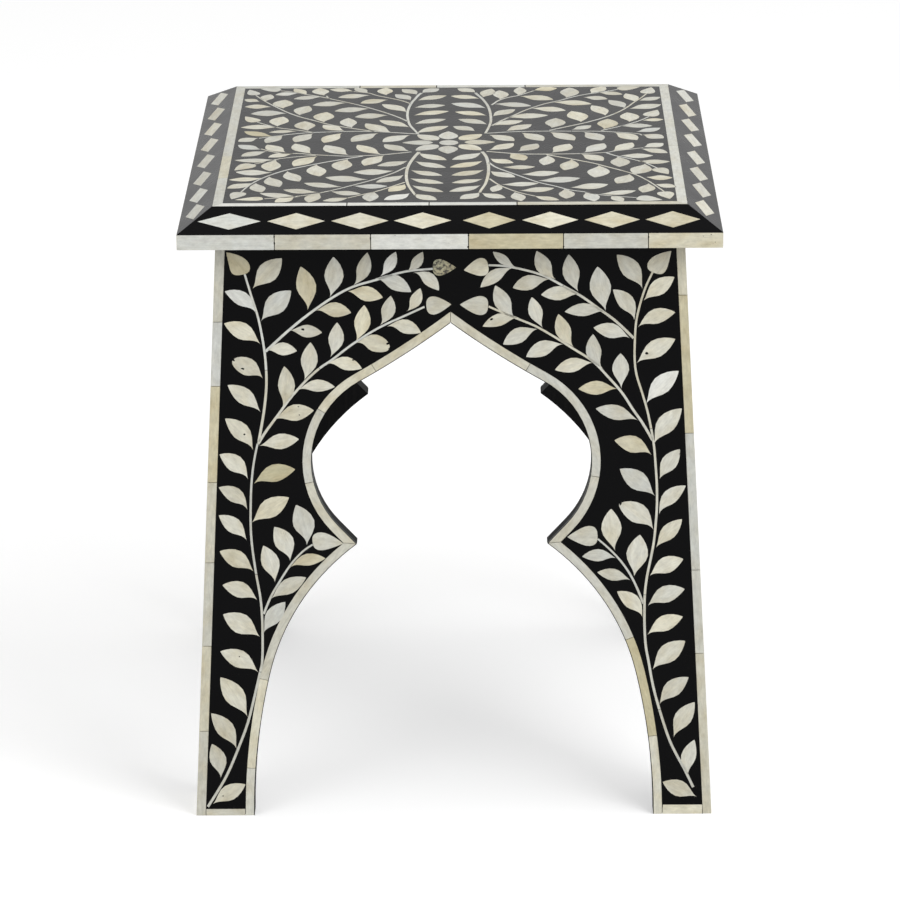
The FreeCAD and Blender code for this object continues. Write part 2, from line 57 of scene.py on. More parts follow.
class Side(Enum):
    """The four sides of the stool, each with the ending of its nodes' names and its turn about the middle."""

    FRONT = ("front", 0.0)
    RIGHT = ("right", 90.0)
    BACK = ("back", 180.0)
    LEFT = ("left", 270.0)

    @property
    def tag(self) -> str:
        """Ending of this side's node and piece names."""
        return self.value[0]

    @property
    def turn(self) -> Matrix:
        """Rotation that takes the front side to this one."""
        return Matrix.Rotation(math.radians(self.value[1]), 4, "Z")


# Colours, nodes and objects


def linear(hex_colour: str) -> Colour:
    """Turn an sRGB hex colour into the linear colour that a shader takes.

    Args:
        hex_colour: six hex digits after a hash.

    Returns:
        Linear red, green and blue with an alpha of one.
    """
    digits = hex_colour.lstrip("#")
    channels = [int(digits[place : place + 2], 16) / 255 for place in (0, 2, 4)]
    light = [c / 12.92 if c <= 0.04045 else ((c + 0.055) / 1.055) ** 2.4 for c in channels]
    return (light[0], light[1], light[2], 1.0)


def add_node(
    tree: bpy.types.NodeTree,
    kind: str,
    inputs: dict[str | int, object] | Sequence[object] = (),
    **settings: object,
) -> bpy.types.Node:
    """Add a node, set its properties, and fill or link its inputs.

    Args:
        tree: node tree that gets the node.
        kind: the node's type name, without the ShaderNode that all of them start with.
        inputs: what the inputs get, by their names or numbers or else in their order. A socket is linked,
            a node is linked by its first output in use, and anything else is a plain value.
        **settings: properties of the node itself.

    Returns:
        The new node.
    """
    node = tree.nodes.new("ShaderNode" + kind)
    for name, value in settings.items():
        setattr(node, name, value)
    for key, value in inputs.items() if isinstance(inputs, dict) else enumerate(inputs):
        if isinstance(value, bpy.types.Node):
            value = next(socket for socket in value.outputs if socket.enabled)
        if isinstance(value, bpy.types.NodeSocket):
            tree.links.new(value, node.inputs[key])
        else:
            node.inputs[key].default_value = value
    return node


def new_material(name: str) -> tuple[bpy.types.Material, bpy.types.NodeTree]:
    """Start an empty node material.

    Args:
        name: the material's name.

    Returns:
        The material and its node tree.
    """
    material = bpy.data.materials.new(name)
    material.use_nodes = True
    material.node_tree.nodes.clear()
    return material, material.node_tree


def add_object(name: str, data: bpy.types.ID) -> bpy.types.Object:
    """Show a mesh, lamp or camera in the scene.

    Args:
        name: the object's name.
        data: what it shows.

    Returns:
        The object, at the origin.
    """
    thing = bpy.data.objects.new(name, data)
    bpy.context.scene.collection.objects.link(thing)
    return thing


def add_mesh(name: str, mesh: bmesh.types.BMesh, material: bpy.types.Material) -> bpy.types.Object:
    """Turn a finished bmesh into an object.

    Args:
        name: the object's name.
        mesh: its shape, which is freed.
        material: its finish.

    Returns:
        The object, at the origin.
    """
    data = bpy.data.meshes.new(name)
    mesh.to_mesh(data)
    mesh.free()
    data.materials.append(material)
    return add_object(name, data)


# Finishes


@dataclass(frozen=True)
class BoneFinish:
    """Buffalo bone, sawn into flat slips, glued in and sanded flush.

    It is matt-polished and slightly uneven: each slip has its own tone from white to cream, with fine
    fibres along its length, yellow clouds that are stronger in older slips, and a few pores of black dust.
    The lightness swings to and fro along the tones, so that slips of nearly one yellow still differ.
    The oldest bone is mottled with dark blotches. Sizes are in millimetres, and a span holds the low and
    high end of a pattern or tone and what each of them becomes.

    Args:
        shades: tone and colour of white, grey-white, ivory, cream, yellowed, warm and old bone.
        fibres: length, width, detail and roughness of the fibres' noise.
        clouds: the same for the clouds.
        stains: the same for the stains, in whose middle the pores lie.
        pores: spacing of the pores along and across the slip.
        mottle: size, detail and roughness of the blotches' noise.
    """

    shades: tuple[tuple[float, str], ...] = (
        (0.0, "#DFDFD8"), (0.12, "#CCCEC8"), (0.35, "#CECDC1"), (0.56, "#D7D3BF"),
        (0.75, "#D2CBAF"), (0.88, "#C8BF9C"), (1.0, "#B6B496"),
    )
    stain: str = "#B9AC86"
    dust: str = "#3B372E"
    roughness: float = 0.42
    ior: float = 1.54
    fibres: Span = (12.0, 0.8, 4.0, 0.62)
    clouds: Span = (7.0, 3.2, 5.0, 0.7)
    stains: Span = (17.0, 10.625, 3.0, 0.5)
    pores: Pair = (2.6, 1.3)
    mottle: tuple[float, float, float] = (2.3, 2.0, 0.6)
    light_swing: float = 0.085
    swing_rate: float = 60.0
    fibre_shade: Span = (0.3, 0.7, 0.91, 1.05)
    cloud_shade: Span = (0.3, 0.7, 0.81, 1.12)
    stain_part: Span = (0.42, 0.78, 0.0, 0.62)
    stain_reach: Span = (0.05, 0.8, 0.3, 1.4)
    pore_spots: Span = (0.07, 0.2, 1.0, 0.0)
    pore_patches: Span = (0.54, 0.72, 0.0, 0.75)
    old_part: Span = (0.94, 1.0, 0.0, 1.0)
    blotches: Span = (0.43, 0.6, 0.0, 1.0)
    relief: float = 0.25
    relief_height: float = 0.1

    def build(self) -> bpy.types.Material:
        """Make the bone material.

        Returns:
            The material, which reads the pieces' tone attribute and grain map.
        """
        material, tree = new_material("bone_sanded")
        tone = add_node(tree, "Attribute", attribute_name="tone").outputs["Fac"]
        grain = add_node(tree, "UVMap", uv_map="grain")
        colours = add_node(tree, "ValToRGB", (tone,))
        stops = colours.color_ramp.elements
        while len(stops) < len(self.shades):
            stops.new(1.0)
        for stop, (place, shade) in zip(stops, self.shades):
            stop.position = place
            stop.color = linear(shade)
        noises = []
        for length, width, detail, rough in (self.fibres, self.clouds, self.stains):
            laid = add_node(tree, "Mapping", {"Vector": grain, "Scale": (1 / length, 1 / width, 1.0)})
            inputs = {"Vector": laid, "Scale": 1.0, "Detail": detail, "Roughness": rough}
            noises.append(add_node(tree, "TexNoise", inputs))
        fibres, clouds, stains = noises
        # Lightness: fibres and clouds in a slip, and a swing from slip to slip
        fibre_shade = add_node(tree, "MapRange", (fibres, *self.fibre_shade))
        cloud_shade = add_node(tree, "MapRange", (clouds, *self.cloud_shade))
        shade = add_node(tree, "Math", (fibre_shade, cloud_shade), operation="MULTIPLY")
        turns = add_node(tree, "Math", (tone, self.swing_rate), operation="MULTIPLY")
        wave = add_node(tree, "Math", (turns,), operation="SINE")
        swing = add_node(tree, "Math", (wave, self.light_swing, 1.0), operation="MULTIPLY_ADD")
        slip_shade = add_node(tree, "Math", (shade, swing), operation="MULTIPLY")
        # Yellow stains, stronger in older bone
        stain_part = add_node(tree, "MapRange", (stains, *self.stain_part))
        stain_reach = add_node(tree, "MapRange", (tone, *self.stain_reach))
        stain_amount = add_node(tree, "Math", (stain_part, stain_reach), operation="MULTIPLY")
        inputs = {0: stain_amount, 6: colours, 7: linear(self.stain)}
        stained = add_node(tree, "Mix", inputs, data_type="RGBA")
        shaded = add_node(tree, "VectorMath", {0: stained, "Scale": slip_shade}, operation="SCALE")
        # Pores in patches, and everywhere in the oldest bone with its dark blotches
        along, across = self.pores
        pore_map = add_node(tree, "Mapping", {"Vector": grain, "Scale": (1 / along, 1 / across, 1.0)})
        pores = add_node(tree, "TexVoronoi", {"Vector": pore_map, "Scale": 1.0})
        pore_spots = add_node(tree, "MapRange", (pores, *self.pore_spots))
        pore_patches = add_node(tree, "MapRange", (stains, *self.pore_patches))
        old_part = add_node(tree, "MapRange", (tone, *self.old_part))
        pored = add_node(tree, "Math", (pore_patches, old_part), operation="MAXIMUM")
        pore_part = add_node(tree, "Math", (pore_spots, pored), operation="MULTIPLY")
        size, detail, rough = self.mottle
        inputs = {"Vector": grain, "Scale": 1 / size, "Detail": detail, "Roughness": rough}
        mottle = add_node(tree, "TexNoise", inputs)
        blotches = add_node(tree, "MapRange", (mottle, *self.blotches))
        old_blotches = add_node(tree, "Math", (blotches, old_part), operation="MULTIPLY")
        dark_part = add_node(tree, "Math", (pore_part, old_blotches), operation="MAXIMUM")
        inputs = {0: dark_part, 6: shaded, 7: linear(self.dust)}
        coloured = add_node(tree, "Mix", inputs, data_type="RGBA")
        height = add_node(tree, "Math", (fibres, pore_part), operation="SUBTRACT")
        relief = {"Height": height, "Strength": self.relief, "Distance": self.relief_height * MM}
        bump = add_node(tree, "Bump", relief)
        inputs = {"Base Color": coloured, "Roughness": self.roughness, "IOR": self.ior, "Normal": bump}
        add_node(tree, "OutputMaterial", (add_node(tree, "BsdfPrincipled", inputs),))
        return material


@dataclass(frozen=True)
class ResinFinish:
    """Black polyester resin, poured round the bone and sanded flush with it.

    It is nearly black face on, and goes mid grey at a low angle, where the haze of fine sanding dust in
    its surface catches the light as well. A fine ripple from the sanding breaks the gloss. The clouds and
    the ripples hold their size in millimetres and their detail.
    """

    black: str = "#010102"
    dust: str = "#050506"
    roughness: Span = (0.35, 0.65, 0.26, 0.31)
    ior: float = 1.45
    specular_level: float = 0.075
    haze: float = 0.1
    haze_roughness: float = 0.35
    clouds: Pair = (35.0, 5.0)
    ripples: Pair = (2.2, 2.0)
    ripple: float = 0.6
    ripple_height: float = 0.2

    def build(self) -> bpy.types.Material:
        """Make the resin material.

        Returns:
            The material, laid on Object coordinates.
        """
        material, tree = new_material("black_resin_sanded")
        place = add_node(tree, "TexCoord").outputs["Object"]
        clouds, ripple = (
            add_node(tree, "TexNoise", {"Vector": place, "Scale": 1 / (size * MM), "Detail": detail})
            for size, detail in (self.clouds, self.ripples)
        )
        colours = {0: clouds, 6: linear(self.black), 7: linear(self.dust)}
        relief = {"Height": ripple, "Strength": self.ripple, "Distance": self.ripple_height * MM}
        inputs = {
            "Base Color": add_node(tree, "Mix", colours, data_type="RGBA"),
            "Roughness": add_node(tree, "MapRange", (clouds, *self.roughness)),
            "IOR": self.ior,
            "Specular IOR Level": self.specular_level,
            "Sheen Weight": self.haze,
            "Sheen Roughness": self.haze_roughness,
            "Normal": add_node(tree, "Bump", relief),
        }
        add_node(tree, "OutputMaterial", (add_node(tree, "BsdfPrincipled", inputs),))
        return material


@dataclass(frozen=True)
class PaintedWoodFinish:
    """Softwood board under brushed black paint.

    The paint is satin and a little grey where it is thin, and the wood's grain still stands in it.
    """

    black: str = "#070708"
    thin: str = "#171615"
    worn: Span = (0.45, 0.8, 0.0, 0.7)
    roughness: float = 0.6
    ior: float = 1.4
    specular_level: float = 0.15
    grain_width: float = 2.2
    grain_length: float = 60.0
    grain_detail: float = 4.0
    relief: float = 0.4
    relief_height: float = 0.3

    def build(self) -> bpy.types.Material:
        """Make the painted wood material.

        Returns:
            The material, with its grain upright on Object coordinates.
        """
        material, tree = new_material("black_painted_wood")
        place = add_node(tree, "TexCoord").outputs["Object"]
        wide, long = 1 / (self.grain_width * MM), 1 / (self.grain_length * MM)
        grain = add_node(tree, "Mapping", {"Vector": place, "Scale": (wide, wide, long)})
        inputs = {"Vector": grain, "Scale": 1.0, "Detail": self.grain_detail}
        streaks = add_node(tree, "TexNoise", inputs)
        worn = add_node(tree, "MapRange", (streaks, *self.worn))
        colours = {0: worn, 6: linear(self.black), 7: linear(self.thin)}
        relief = {"Height": streaks, "Strength": self.relief, "Distance": self.relief_height * MM}
        inputs = {
            "Base Color": add_node(tree, "Mix", colours, data_type="RGBA"),
            "Roughness": self.roughness,
            "IOR": self.ior,
            "Specular IOR Level": self.specular_level,
            "Normal": add_node(tree, "Bump", relief),
        }
        add_node(tree, "OutputMaterial", (add_node(tree, "BsdfPrincipled", inputs),))
        return material


@dataclass(frozen=True)
class ScrewSteelFinish:
    """Zinc-plated steel screws: a bright grey metal with small duller patches in the plating."""

    bright: str = "#B9BBBD"
    dull: str = "#8E9092"
    roughness: float = 0.34
    patch_size: float = 1.5
    patch_detail: float = 3.0

    def build(self) -> bpy.types.Material:
        """Make the plated steel material.

        Returns:
            The material, laid on Object coordinates.
        """
        material, tree = new_material("zinc_plated_steel")
        place = add_node(tree, "TexCoord").outputs["Object"]
        inputs = {"Vector": place, "Scale": 1 / (self.patch_size * MM), "Detail": self.patch_detail}
        patches = add_node(tree, "TexNoise", inputs)
        colours = {0: patches, 6: linear(self.bright), 7: linear(self.dull)}
        plating = add_node(tree, "Mix", colours, data_type="RGBA")
        inputs = {"Base Color": plating, "Metallic": 1.0, "Roughness": self.roughness}
        add_node(tree, "OutputMaterial", (add_node(tree, "BsdfPrincipled", inputs),))
        return material


@dataclass(frozen=True)
class Finishes:
    """The stool's four finishes, each built once."""

    bone: bpy.types.Material
    resin: bpy.types.Material
    wood: bpy.types.Material
    steel: bpy.types.Material

    @classmethod
    def build(cls) -> "Finishes":
        """Build every finish."""
        kinds = (BoneFinish, ResinFinish, PaintedWoodFinish, ScrewSteelFinish)
        return cls(*(kind().build() for kind in kinds))


# Pieces cut for inlay


@dataclass(frozen=True)
class Leaf:
    """One leaf, petal or bud, in millimetres on its face.

    A leaf swells late from a thin, hollow-sided stalk and ends bluntly, a bud is round at its stalk.

    Args:
        base: stalk end.
        tip: pointed end.
        width: full width.
        bow: how far the middle line bends to the left of base to tip, as a share of the length.
        tone: tone of its bone from 0, grey-white, to 1, old and open-pored; None leaves it to chance.
        peak: share of the length where it is widest.
        close: power of the outline's closing from there to the tip.
        swell: power of its growth up to there.
        knee: share of the length where the middle line bends.
    """

    base: Pair
    tip: Pair
    width: float
    bow: float = 0.0
    tone: float | None = None
    peak: float = 0.63
    close: float = 0.85
    swell: float = 1.4
    knee: float = 0.3

    def moved(self, shift: Pair) -> "Leaf":
        """The same leaf a little further on."""
        base, tip = (tuple(Vector(end) + Vector(shift)) for end in (self.base, self.tip))
        return replace(self, base=base, tip=tip)

    def half_width(self, share: float) -> float:
        """Half width at a share of the length from the stalk."""
        wave = max(0.0, math.sin(math.pi * share ** (math.log(0.5) / math.log(self.peak))))
        return self.width / 2 * wave ** (self.swell if share < self.peak else self.close)

    def middle(self, share: float) -> tuple[Vector, Vector]:
        """Point and direction of the middle line.

        Args:
            share: share of the length from the stalk.

        Returns:
            The point and the unit direction there.
        """
        base, tip = Vector(self.base), Vector(self.tip)
        along = tip - base
        left = Vector((-along.y, along.x))
        knee = base + along * self.knee + left * self.bow
        point = (1 - share) ** 2 * base + 2 * share * (1 - share) * knee + share**2 * tip
        run = (1 - share) * (knee - base) + share * (tip - knee)
        return point, run.normalized()


@dataclass(frozen=True)
class Stem:
    """A thin bone stem laid in lengths, in millimetres on its face.

    Args:
        points: places it passes, from its root up.
        width: its width at the root.
        thin: its width at the far end, as a share of that.
        joints: points of the list where one length ends and the next begins.
    """

    points: tuple[Pair, ...]
    width: float = 1.9
    thin: float = 0.75
    joints: tuple[int, ...] = ()


@dataclass(frozen=True)
class Pit:
    """A small chip or pore in the bone that has filled with black resin, in millimetres on its face.

    Args:
        place: its middle.
        size: its length and width.
        turn: turn of its length from level, in degrees.
    """

    place: Pair
    size: Pair
    turn: float = 0.0


def only(kind: type, items: Iterable[object]) -> list:
    """Pick the items of one kind, such as the vertices that an operator returns."""
    return [item for item in items if isinstance(item, kind)]


# Seed of each piece's tones and grain, to which a side adds its turn
SEEDS = {
    "panel_inlay": 11,
    "panel_pits": 21,
    "edge_strip_bone": 31,
    "edge_line_resin": 41,
    "foot_strip_bone": 51,
    "arch_band_bone": 71,
    "arch_rim_resin": 91,
    "rim_bone": 211,
    "rim_pits": 221,
    "border_bone": 231,
    "bevel_resin": 251,
    "lozenge_bone": 271,
    "top_resin": 281,
    "top_inlay": 291,
}


class BoneWork:
    """A mesh of bone or resin pieces laid out in millimetres on one face, then set in its place.

    A tone that is left to chance lies near the usual one: the spread widens it, and the tail makes the few
    that lie far off lie further. Stems have a tone of their own range, and each is laid with a gap at its
    end. A pit's corners lie at ragged shares of its radius, and edges sharper than the sharp angle, in
    degrees, are rounded.
    """

    usual_tone = 0.41
    tone_spread = 0.1
    tone_tail = 0.012
    oldest_picked = 0.9
    stem_tones = (0.1, 0.5)
    stem_steps = 4
    stem_gap = 0.35
    round_corners = 24
    pit_corners = 9
    pit_ragged = (0.7, 1.2)
    grain_reach = 900
    sharp_angle = 35.0

    def __init__(self, name: str, face: Matrix, side: Side | None = None) -> None:
        """Start an empty mesh.

        Args:
            name: name of the finished piece, without its side's.
            face: from millimetres on the face to metres in the stool's frame, as on the front.
            side: the side that it lies on; None for the middle.
        """
        self.name = f"{name}_{side.tag}" if side else name
        self.face = face
        self.place = side.turn @ face if side else face
        self.chance = random.Random(SEEDS[name] + (int(side.value[1]) if side else 0))
        self.mesh = bmesh.new()
        self.tone = self.mesh.verts.layers.float.new("tone")
        self.grain = self.mesh.loops.layers.uv.new("grain")

    def mark(self, verts: Iterable[bmesh.types.BMVert], along: Vector, tone: float | None = None) -> None:
        """Give one piece its tone and lay its grain.

        Args:
            verts: the piece's vertices.
            along: direction of the fibres on the face.
            tone: its tone from 0, grey-white, to 1, old; None picks one.
        """
        verts = list(verts)
        shade = self.pick_tone() if tone is None else tone
        for vert in verts:
            vert[self.tone] = shade
        along = along.normalized()
        across = Vector((-along.y, along.x))
        shift = Vector([self.chance.uniform(0, self.grain_reach) for _ in range(2)])
        for face in {face for vert in verts for face in vert.link_faces}:
            for loop in face.loops:
                flat = loop.vert.co.xy
                loop[self.grain].uv = (flat.dot(along) + shift.x, flat.dot(across) + shift.y + loop.vert.co.z)

    def pick_tone(self) -> float:
        """Pick a tone.

        Returns:
            A tone that is mostly ivory or cream, and for a few slips grey-white or warm.
        """
        draw = self.chance.gauss(0.0, 1.0)
        tone = self.usual_tone + self.tone_spread * draw + self.tone_tail * draw**3
        return min(self.oldest_picked, max(0.0, tone))

    def cut_disc(self, corners: int, place: Matrix) -> list[bmesh.types.BMVert]:
        """Cut one flat disc, two millimetres wide before it is placed.

        Args:
            corners: corners of its outline.
            place: its place and size on the face.

        Returns:
            Its vertices.
        """
        disc = bmesh.ops.create_circle(self.mesh, cap_ends=True, segments=corners, radius=1.0, matrix=place)
        return disc["verts"]

    def cut_leaf(self, leaf: Leaf) -> None:
        """Cut one flat leaf from a round disc.

        Args:
            leaf: the leaf.
        """
        verts = self.cut_disc(self.round_corners, Matrix())
        for vert in verts:
            share = min(1.0, max(0.0, (1 + vert.co.y) / 2))
            point, run = leaf.middle(share)
            aside = Vector((-run.y, run.x)) * math.copysign(leaf.half_width(share), -vert.co.x)
            vert.co = (*(point + aside), 0.0)
        self.mark(verts, Vector(leaf.tip) - Vector(leaf.base), leaf.tone)

    def cut_pit(self, pit: Pit) -> None:
        """Cut one flat pit with a ragged outline.

        Args:
            pit: the pit.
        """
        verts = self.cut_disc(self.pit_corners, Matrix())
        for vert in verts:
            vert.co *= self.chance.uniform(*self.pit_ragged) / 2
        place = Matrix.Translation((*pit.place, 0.0)) @ Matrix.Rotation(math.radians(pit.turn), 4, "Z")
        bmesh.ops.transform(self.mesh, matrix=place @ Matrix.Diagonal((*pit.size, 1.0, 1.0)), verts=verts)

    def cut_lozenge(self, centre: Pair, size: Pair, tone: float | None = None) -> None:
        """Cut one flat lozenge.

        Args:
            centre: its centre on the face.
            size: its size along the row and up the bevel.
            tone: its tone; None picks one.
        """
        place = Matrix.Translation((*centre, 0.0)) @ Matrix.Diagonal((size[0] / 2, size[1] / 2, 1.0, 1.0))
        self.mark(self.cut_disc(4, place), Vector((1.0, 0.0)), tone)

    def lay_stem(self, stem: Stem) -> None:
        """Lay a stem's lengths as flat ribbons along a smooth line.

        Args:
            stem: the stem.
        """
        stations = smooth_line(stem.points, self.stem_steps)
        top = len(stations) - 1
        ends = [0, *(joint * self.stem_steps for joint in stem.joints), top]
        for first, last in zip(ends, ends[1:]):
            run = stations[first : last + 1]
            run[-1] = run[-1] - (run[-1] - run[-2]).normalized() * self.stem_gap
            verts: list[bmesh.types.BMVert] = []
            edge = None
            for place, point in enumerate(run):
                ahead = run[min(place + 1, len(run) - 1)] - run[max(place - 1, 0)]
                taper = 1 - (1 - stem.thin) * (first + place) / top
                aside = Vector((-ahead.y, ahead.x)).normalized() * stem.width / 2 * taper
                if edge is None:
                    left, right = (self.mesh.verts.new((*(point + side * aside), 0.0)) for side in (1, -1))
                    edge = self.mesh.edges.new((left, right))
                else:
                    grown = bmesh.ops.extrude_edge_only(self.mesh, edges=[edge])["geom"]
                    pair = only(bmesh.types.BMVert, grown)
                    left, right = sorted(pair, key=lambda vert: (vert.co - left.co).length)
                    edge = self.mesh.edges.get(pair)
                    left.co = (*(point + aside), 0.0)
                    right.co = (*(point - aside), 0.0)
                verts.extend((left, right))
            self.mark(verts, run[-1] - run[0], self.chance.uniform(*self.stem_tones))

    def thicken(self, sunk: float, proud: float) -> None:
        """Turn the flat pieces into slips with a top and a bottom.

        Args:
            sunk: depth of their undersides below the face.
            proud: height of their tops above it.
        """
        grown = bmesh.ops.extrude_face_region(self.mesh, geom=list(self.mesh.faces))["geom"]
        bmesh.ops.translate(self.mesh, vec=(0.0, 0.0, sunk + proud), verts=only(bmesh.types.BMVert, grown))
        bmesh.ops.translate(self.mesh, vec=(0.0, 0.0, -sunk), verts=self.mesh.verts)

    def add_bar(
        self, low: Sequence[float], high: Sequence[float], slant: float = 0.0, tone: float | None = None
    ) -> None:
        """Add one straight bar.

        Args:
            low: its lowest corner on the face, with the depth last.
            high: its highest corner.
            slant: how far it shifts along the face for each millimetre up it.
            tone: its tone; None picks one.
        """
        low_corner, high_corner = Vector(low), Vector(high)
        size = high_corner - low_corner
        place = Matrix.Translation((low_corner + high_corner) / 2) @ Matrix.Diagonal((*size, 1.0))
        verts = bmesh.ops.create_cube(self.mesh, size=1.0, matrix=place)["verts"]
        for vert in verts:
            vert.co.x += slant * vert.co.y
        along = Vector((slant, 1.0)) if size.y > size.x else Vector((1.0, 0.0))
        self.mark(verts, along, tone)

    def cut_away(
        self,
        point: Sequence[float],
        normal: Sequence[float],
        verts: Iterable[bmesh.types.BMVert] | None = None,
    ) -> list[bmesh.types.BMVert]:
        """Saw along a plane, drop what lies on the normal's side and close the cut.

        Args:
            point: a point of the plane.
            normal: side that is dropped.
            verts: vertices of the pieces to saw; None saws every piece.

        Returns:
            The vertices that are left of those pieces.
        """
        chosen = list(self.mesh.verts) if verts is None else list(verts)
        faces = {face for vert in chosen for face in vert.link_faces}
        edges = {edge for face in faces for edge in face.edges}
        plane = {"plane_co": Vector(point), "plane_no": Vector(normal), "clear_outer": True}
        cut = bmesh.ops.bisect_plane(self.mesh, geom=[*chosen, *edges, *faces], **plane)["geom_cut"]
        rim = [edge for edge in only(bmesh.types.BMEdge, cut) if edge.is_boundary]
        bmesh.ops.edgeloop_fill(self.mesh, edges=rim)
        fresh = [vert for edge in rim for vert in edge.verts]
        return list(dict.fromkeys([vert for vert in chosen if vert.is_valid] + fresh))

    def cut_mitres(self) -> None:
        """Saw every piece at the stool's two mitre planes beside its side."""
        back = self.face.inverted()
        for hand in (-1.0, 1.0):
            self.cut_away(back @ Vector(), back.to_3x3() @ Vector((hand, 1.0, 0.0)))

    def cut_level(self, height: float, upwards: bool) -> None:
        """Saw every piece at a height above the floor.

        Args:
            height: height of the cut in millimetres.
            upwards: whether the part above the cut is dropped.
        """
        back = self.face.inverted()
        normal = Vector((0.0, 0.0, 1.0 if upwards else -1.0))
        self.cut_away(back @ Vector((0.0, 0.0, height * MM)), back.to_3x3() @ normal)

    def soften(self, width: float) -> None:
        """Round the sharp edges a little.

        Args:
            width: width of the bevel.
        """
        self.mesh.normal_update()
        least = math.radians(self.sharp_angle)
        shared = [edge for edge in self.mesh.edges if len(edge.link_faces) == 2]
        sharp = [edge for edge in shared if edge.calc_face_angle() > least]
        bmesh.ops.bevel(
            self.mesh,
            geom=sharp,
            offset=width,
            offset_type="OFFSET",
            segments=1,
            profile=0.5,
            affect="EDGES",
            clamp_overlap=True,
            material=-1,
        )

    def finish(self, material: bpy.types.Material, slot: str, *nodes: str) -> None:
        """Set the mesh in its place and make it a piece that rides on the stool.

        Args:
            material: its finish.
            slot: a material slot's name; not used.
            *nodes: CAD nodes that it stands for.
        """
        bmesh.ops.transform(self.mesh, matrix=self.place, verts=self.mesh.verts)
        bmesh.ops.recalc_face_normals(self.mesh, faces=self.mesh.faces)
        piece = add_mesh(self.name, self.mesh, material)
        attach(piece, "root")
        if nodes:
            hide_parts(*nodes)
        log.info("%s: %d faces", self.name, len(piece.data.polygons))


def smooth_line(points: Sequence[Pair], steps: int) -> list[Vector]:
    """Run a smooth line through points.

    Args:
        points: places it passes.
        steps: stretches between one point and the next.

    Returns:
        Stations along the line, the points among them.
    """
    knots = [Vector(point) for point in points]
    knots = [2 * knots[0] - knots[1], *knots, 2 * knots[-1] - knots[-2]]
    stations = []
    for before, start, end, after in zip(knots, knots[1:], knots[2:], knots[3:]):
        bend = 2 * before - 5 * start + 4 * end - after
        twist = 3 * start - before - 3 * end + after
        for t in (step / steps for step in range(steps)):
            stations.append((2 * start + (end - before) * t + bend * t**2 + twist * t**3) / 2)
    return [*stations, knots[-2]]


# Arch


@dataclass(frozen=True)
class Arc:
    """One arc of the arch's edge on the right half of a panel, in millimetres and degrees.

    Args:
        centre: its centre on the face.
        radius: its radius.
        start: angle where it starts, going up the arch.
        end: angle where it ends.
        outward: 1 where the panel lies outside the arc, -1 where it lies inside.
    """

    centre: Pair
    radius: float
    start: float
    end: float
    outward: int = 1


@dataclass(frozen=True)
class Straight:
    """A straight stretch of the arch's edge, from its lower to its upper end."""

    base: Pair
    tip: Pair


Run = Arc | Straight
Seams = tuple[tuple[int, float], ...]


@dataclass(frozen=True)
class ArchLine:
    """The cusped keel arch's edge, as the CAD panels are cut."""

    flare: Arc = Arc((-339.0, -3.486), 484.0, -0.2, 13.52)
    shoulder: Arc = Arc((-35.65, 69.45), 172.0, 13.52, 52.96)
    fall: Straight = Straight((67.97, 206.7), (81.1, 220.8))
    lobe: Arc = Arc((31.0, 267.514), 68.5, -43.0, 60.3)
    keel: Arc = Arc((372.12, 865.57), 620.0, 240.3, 232.4, -1)


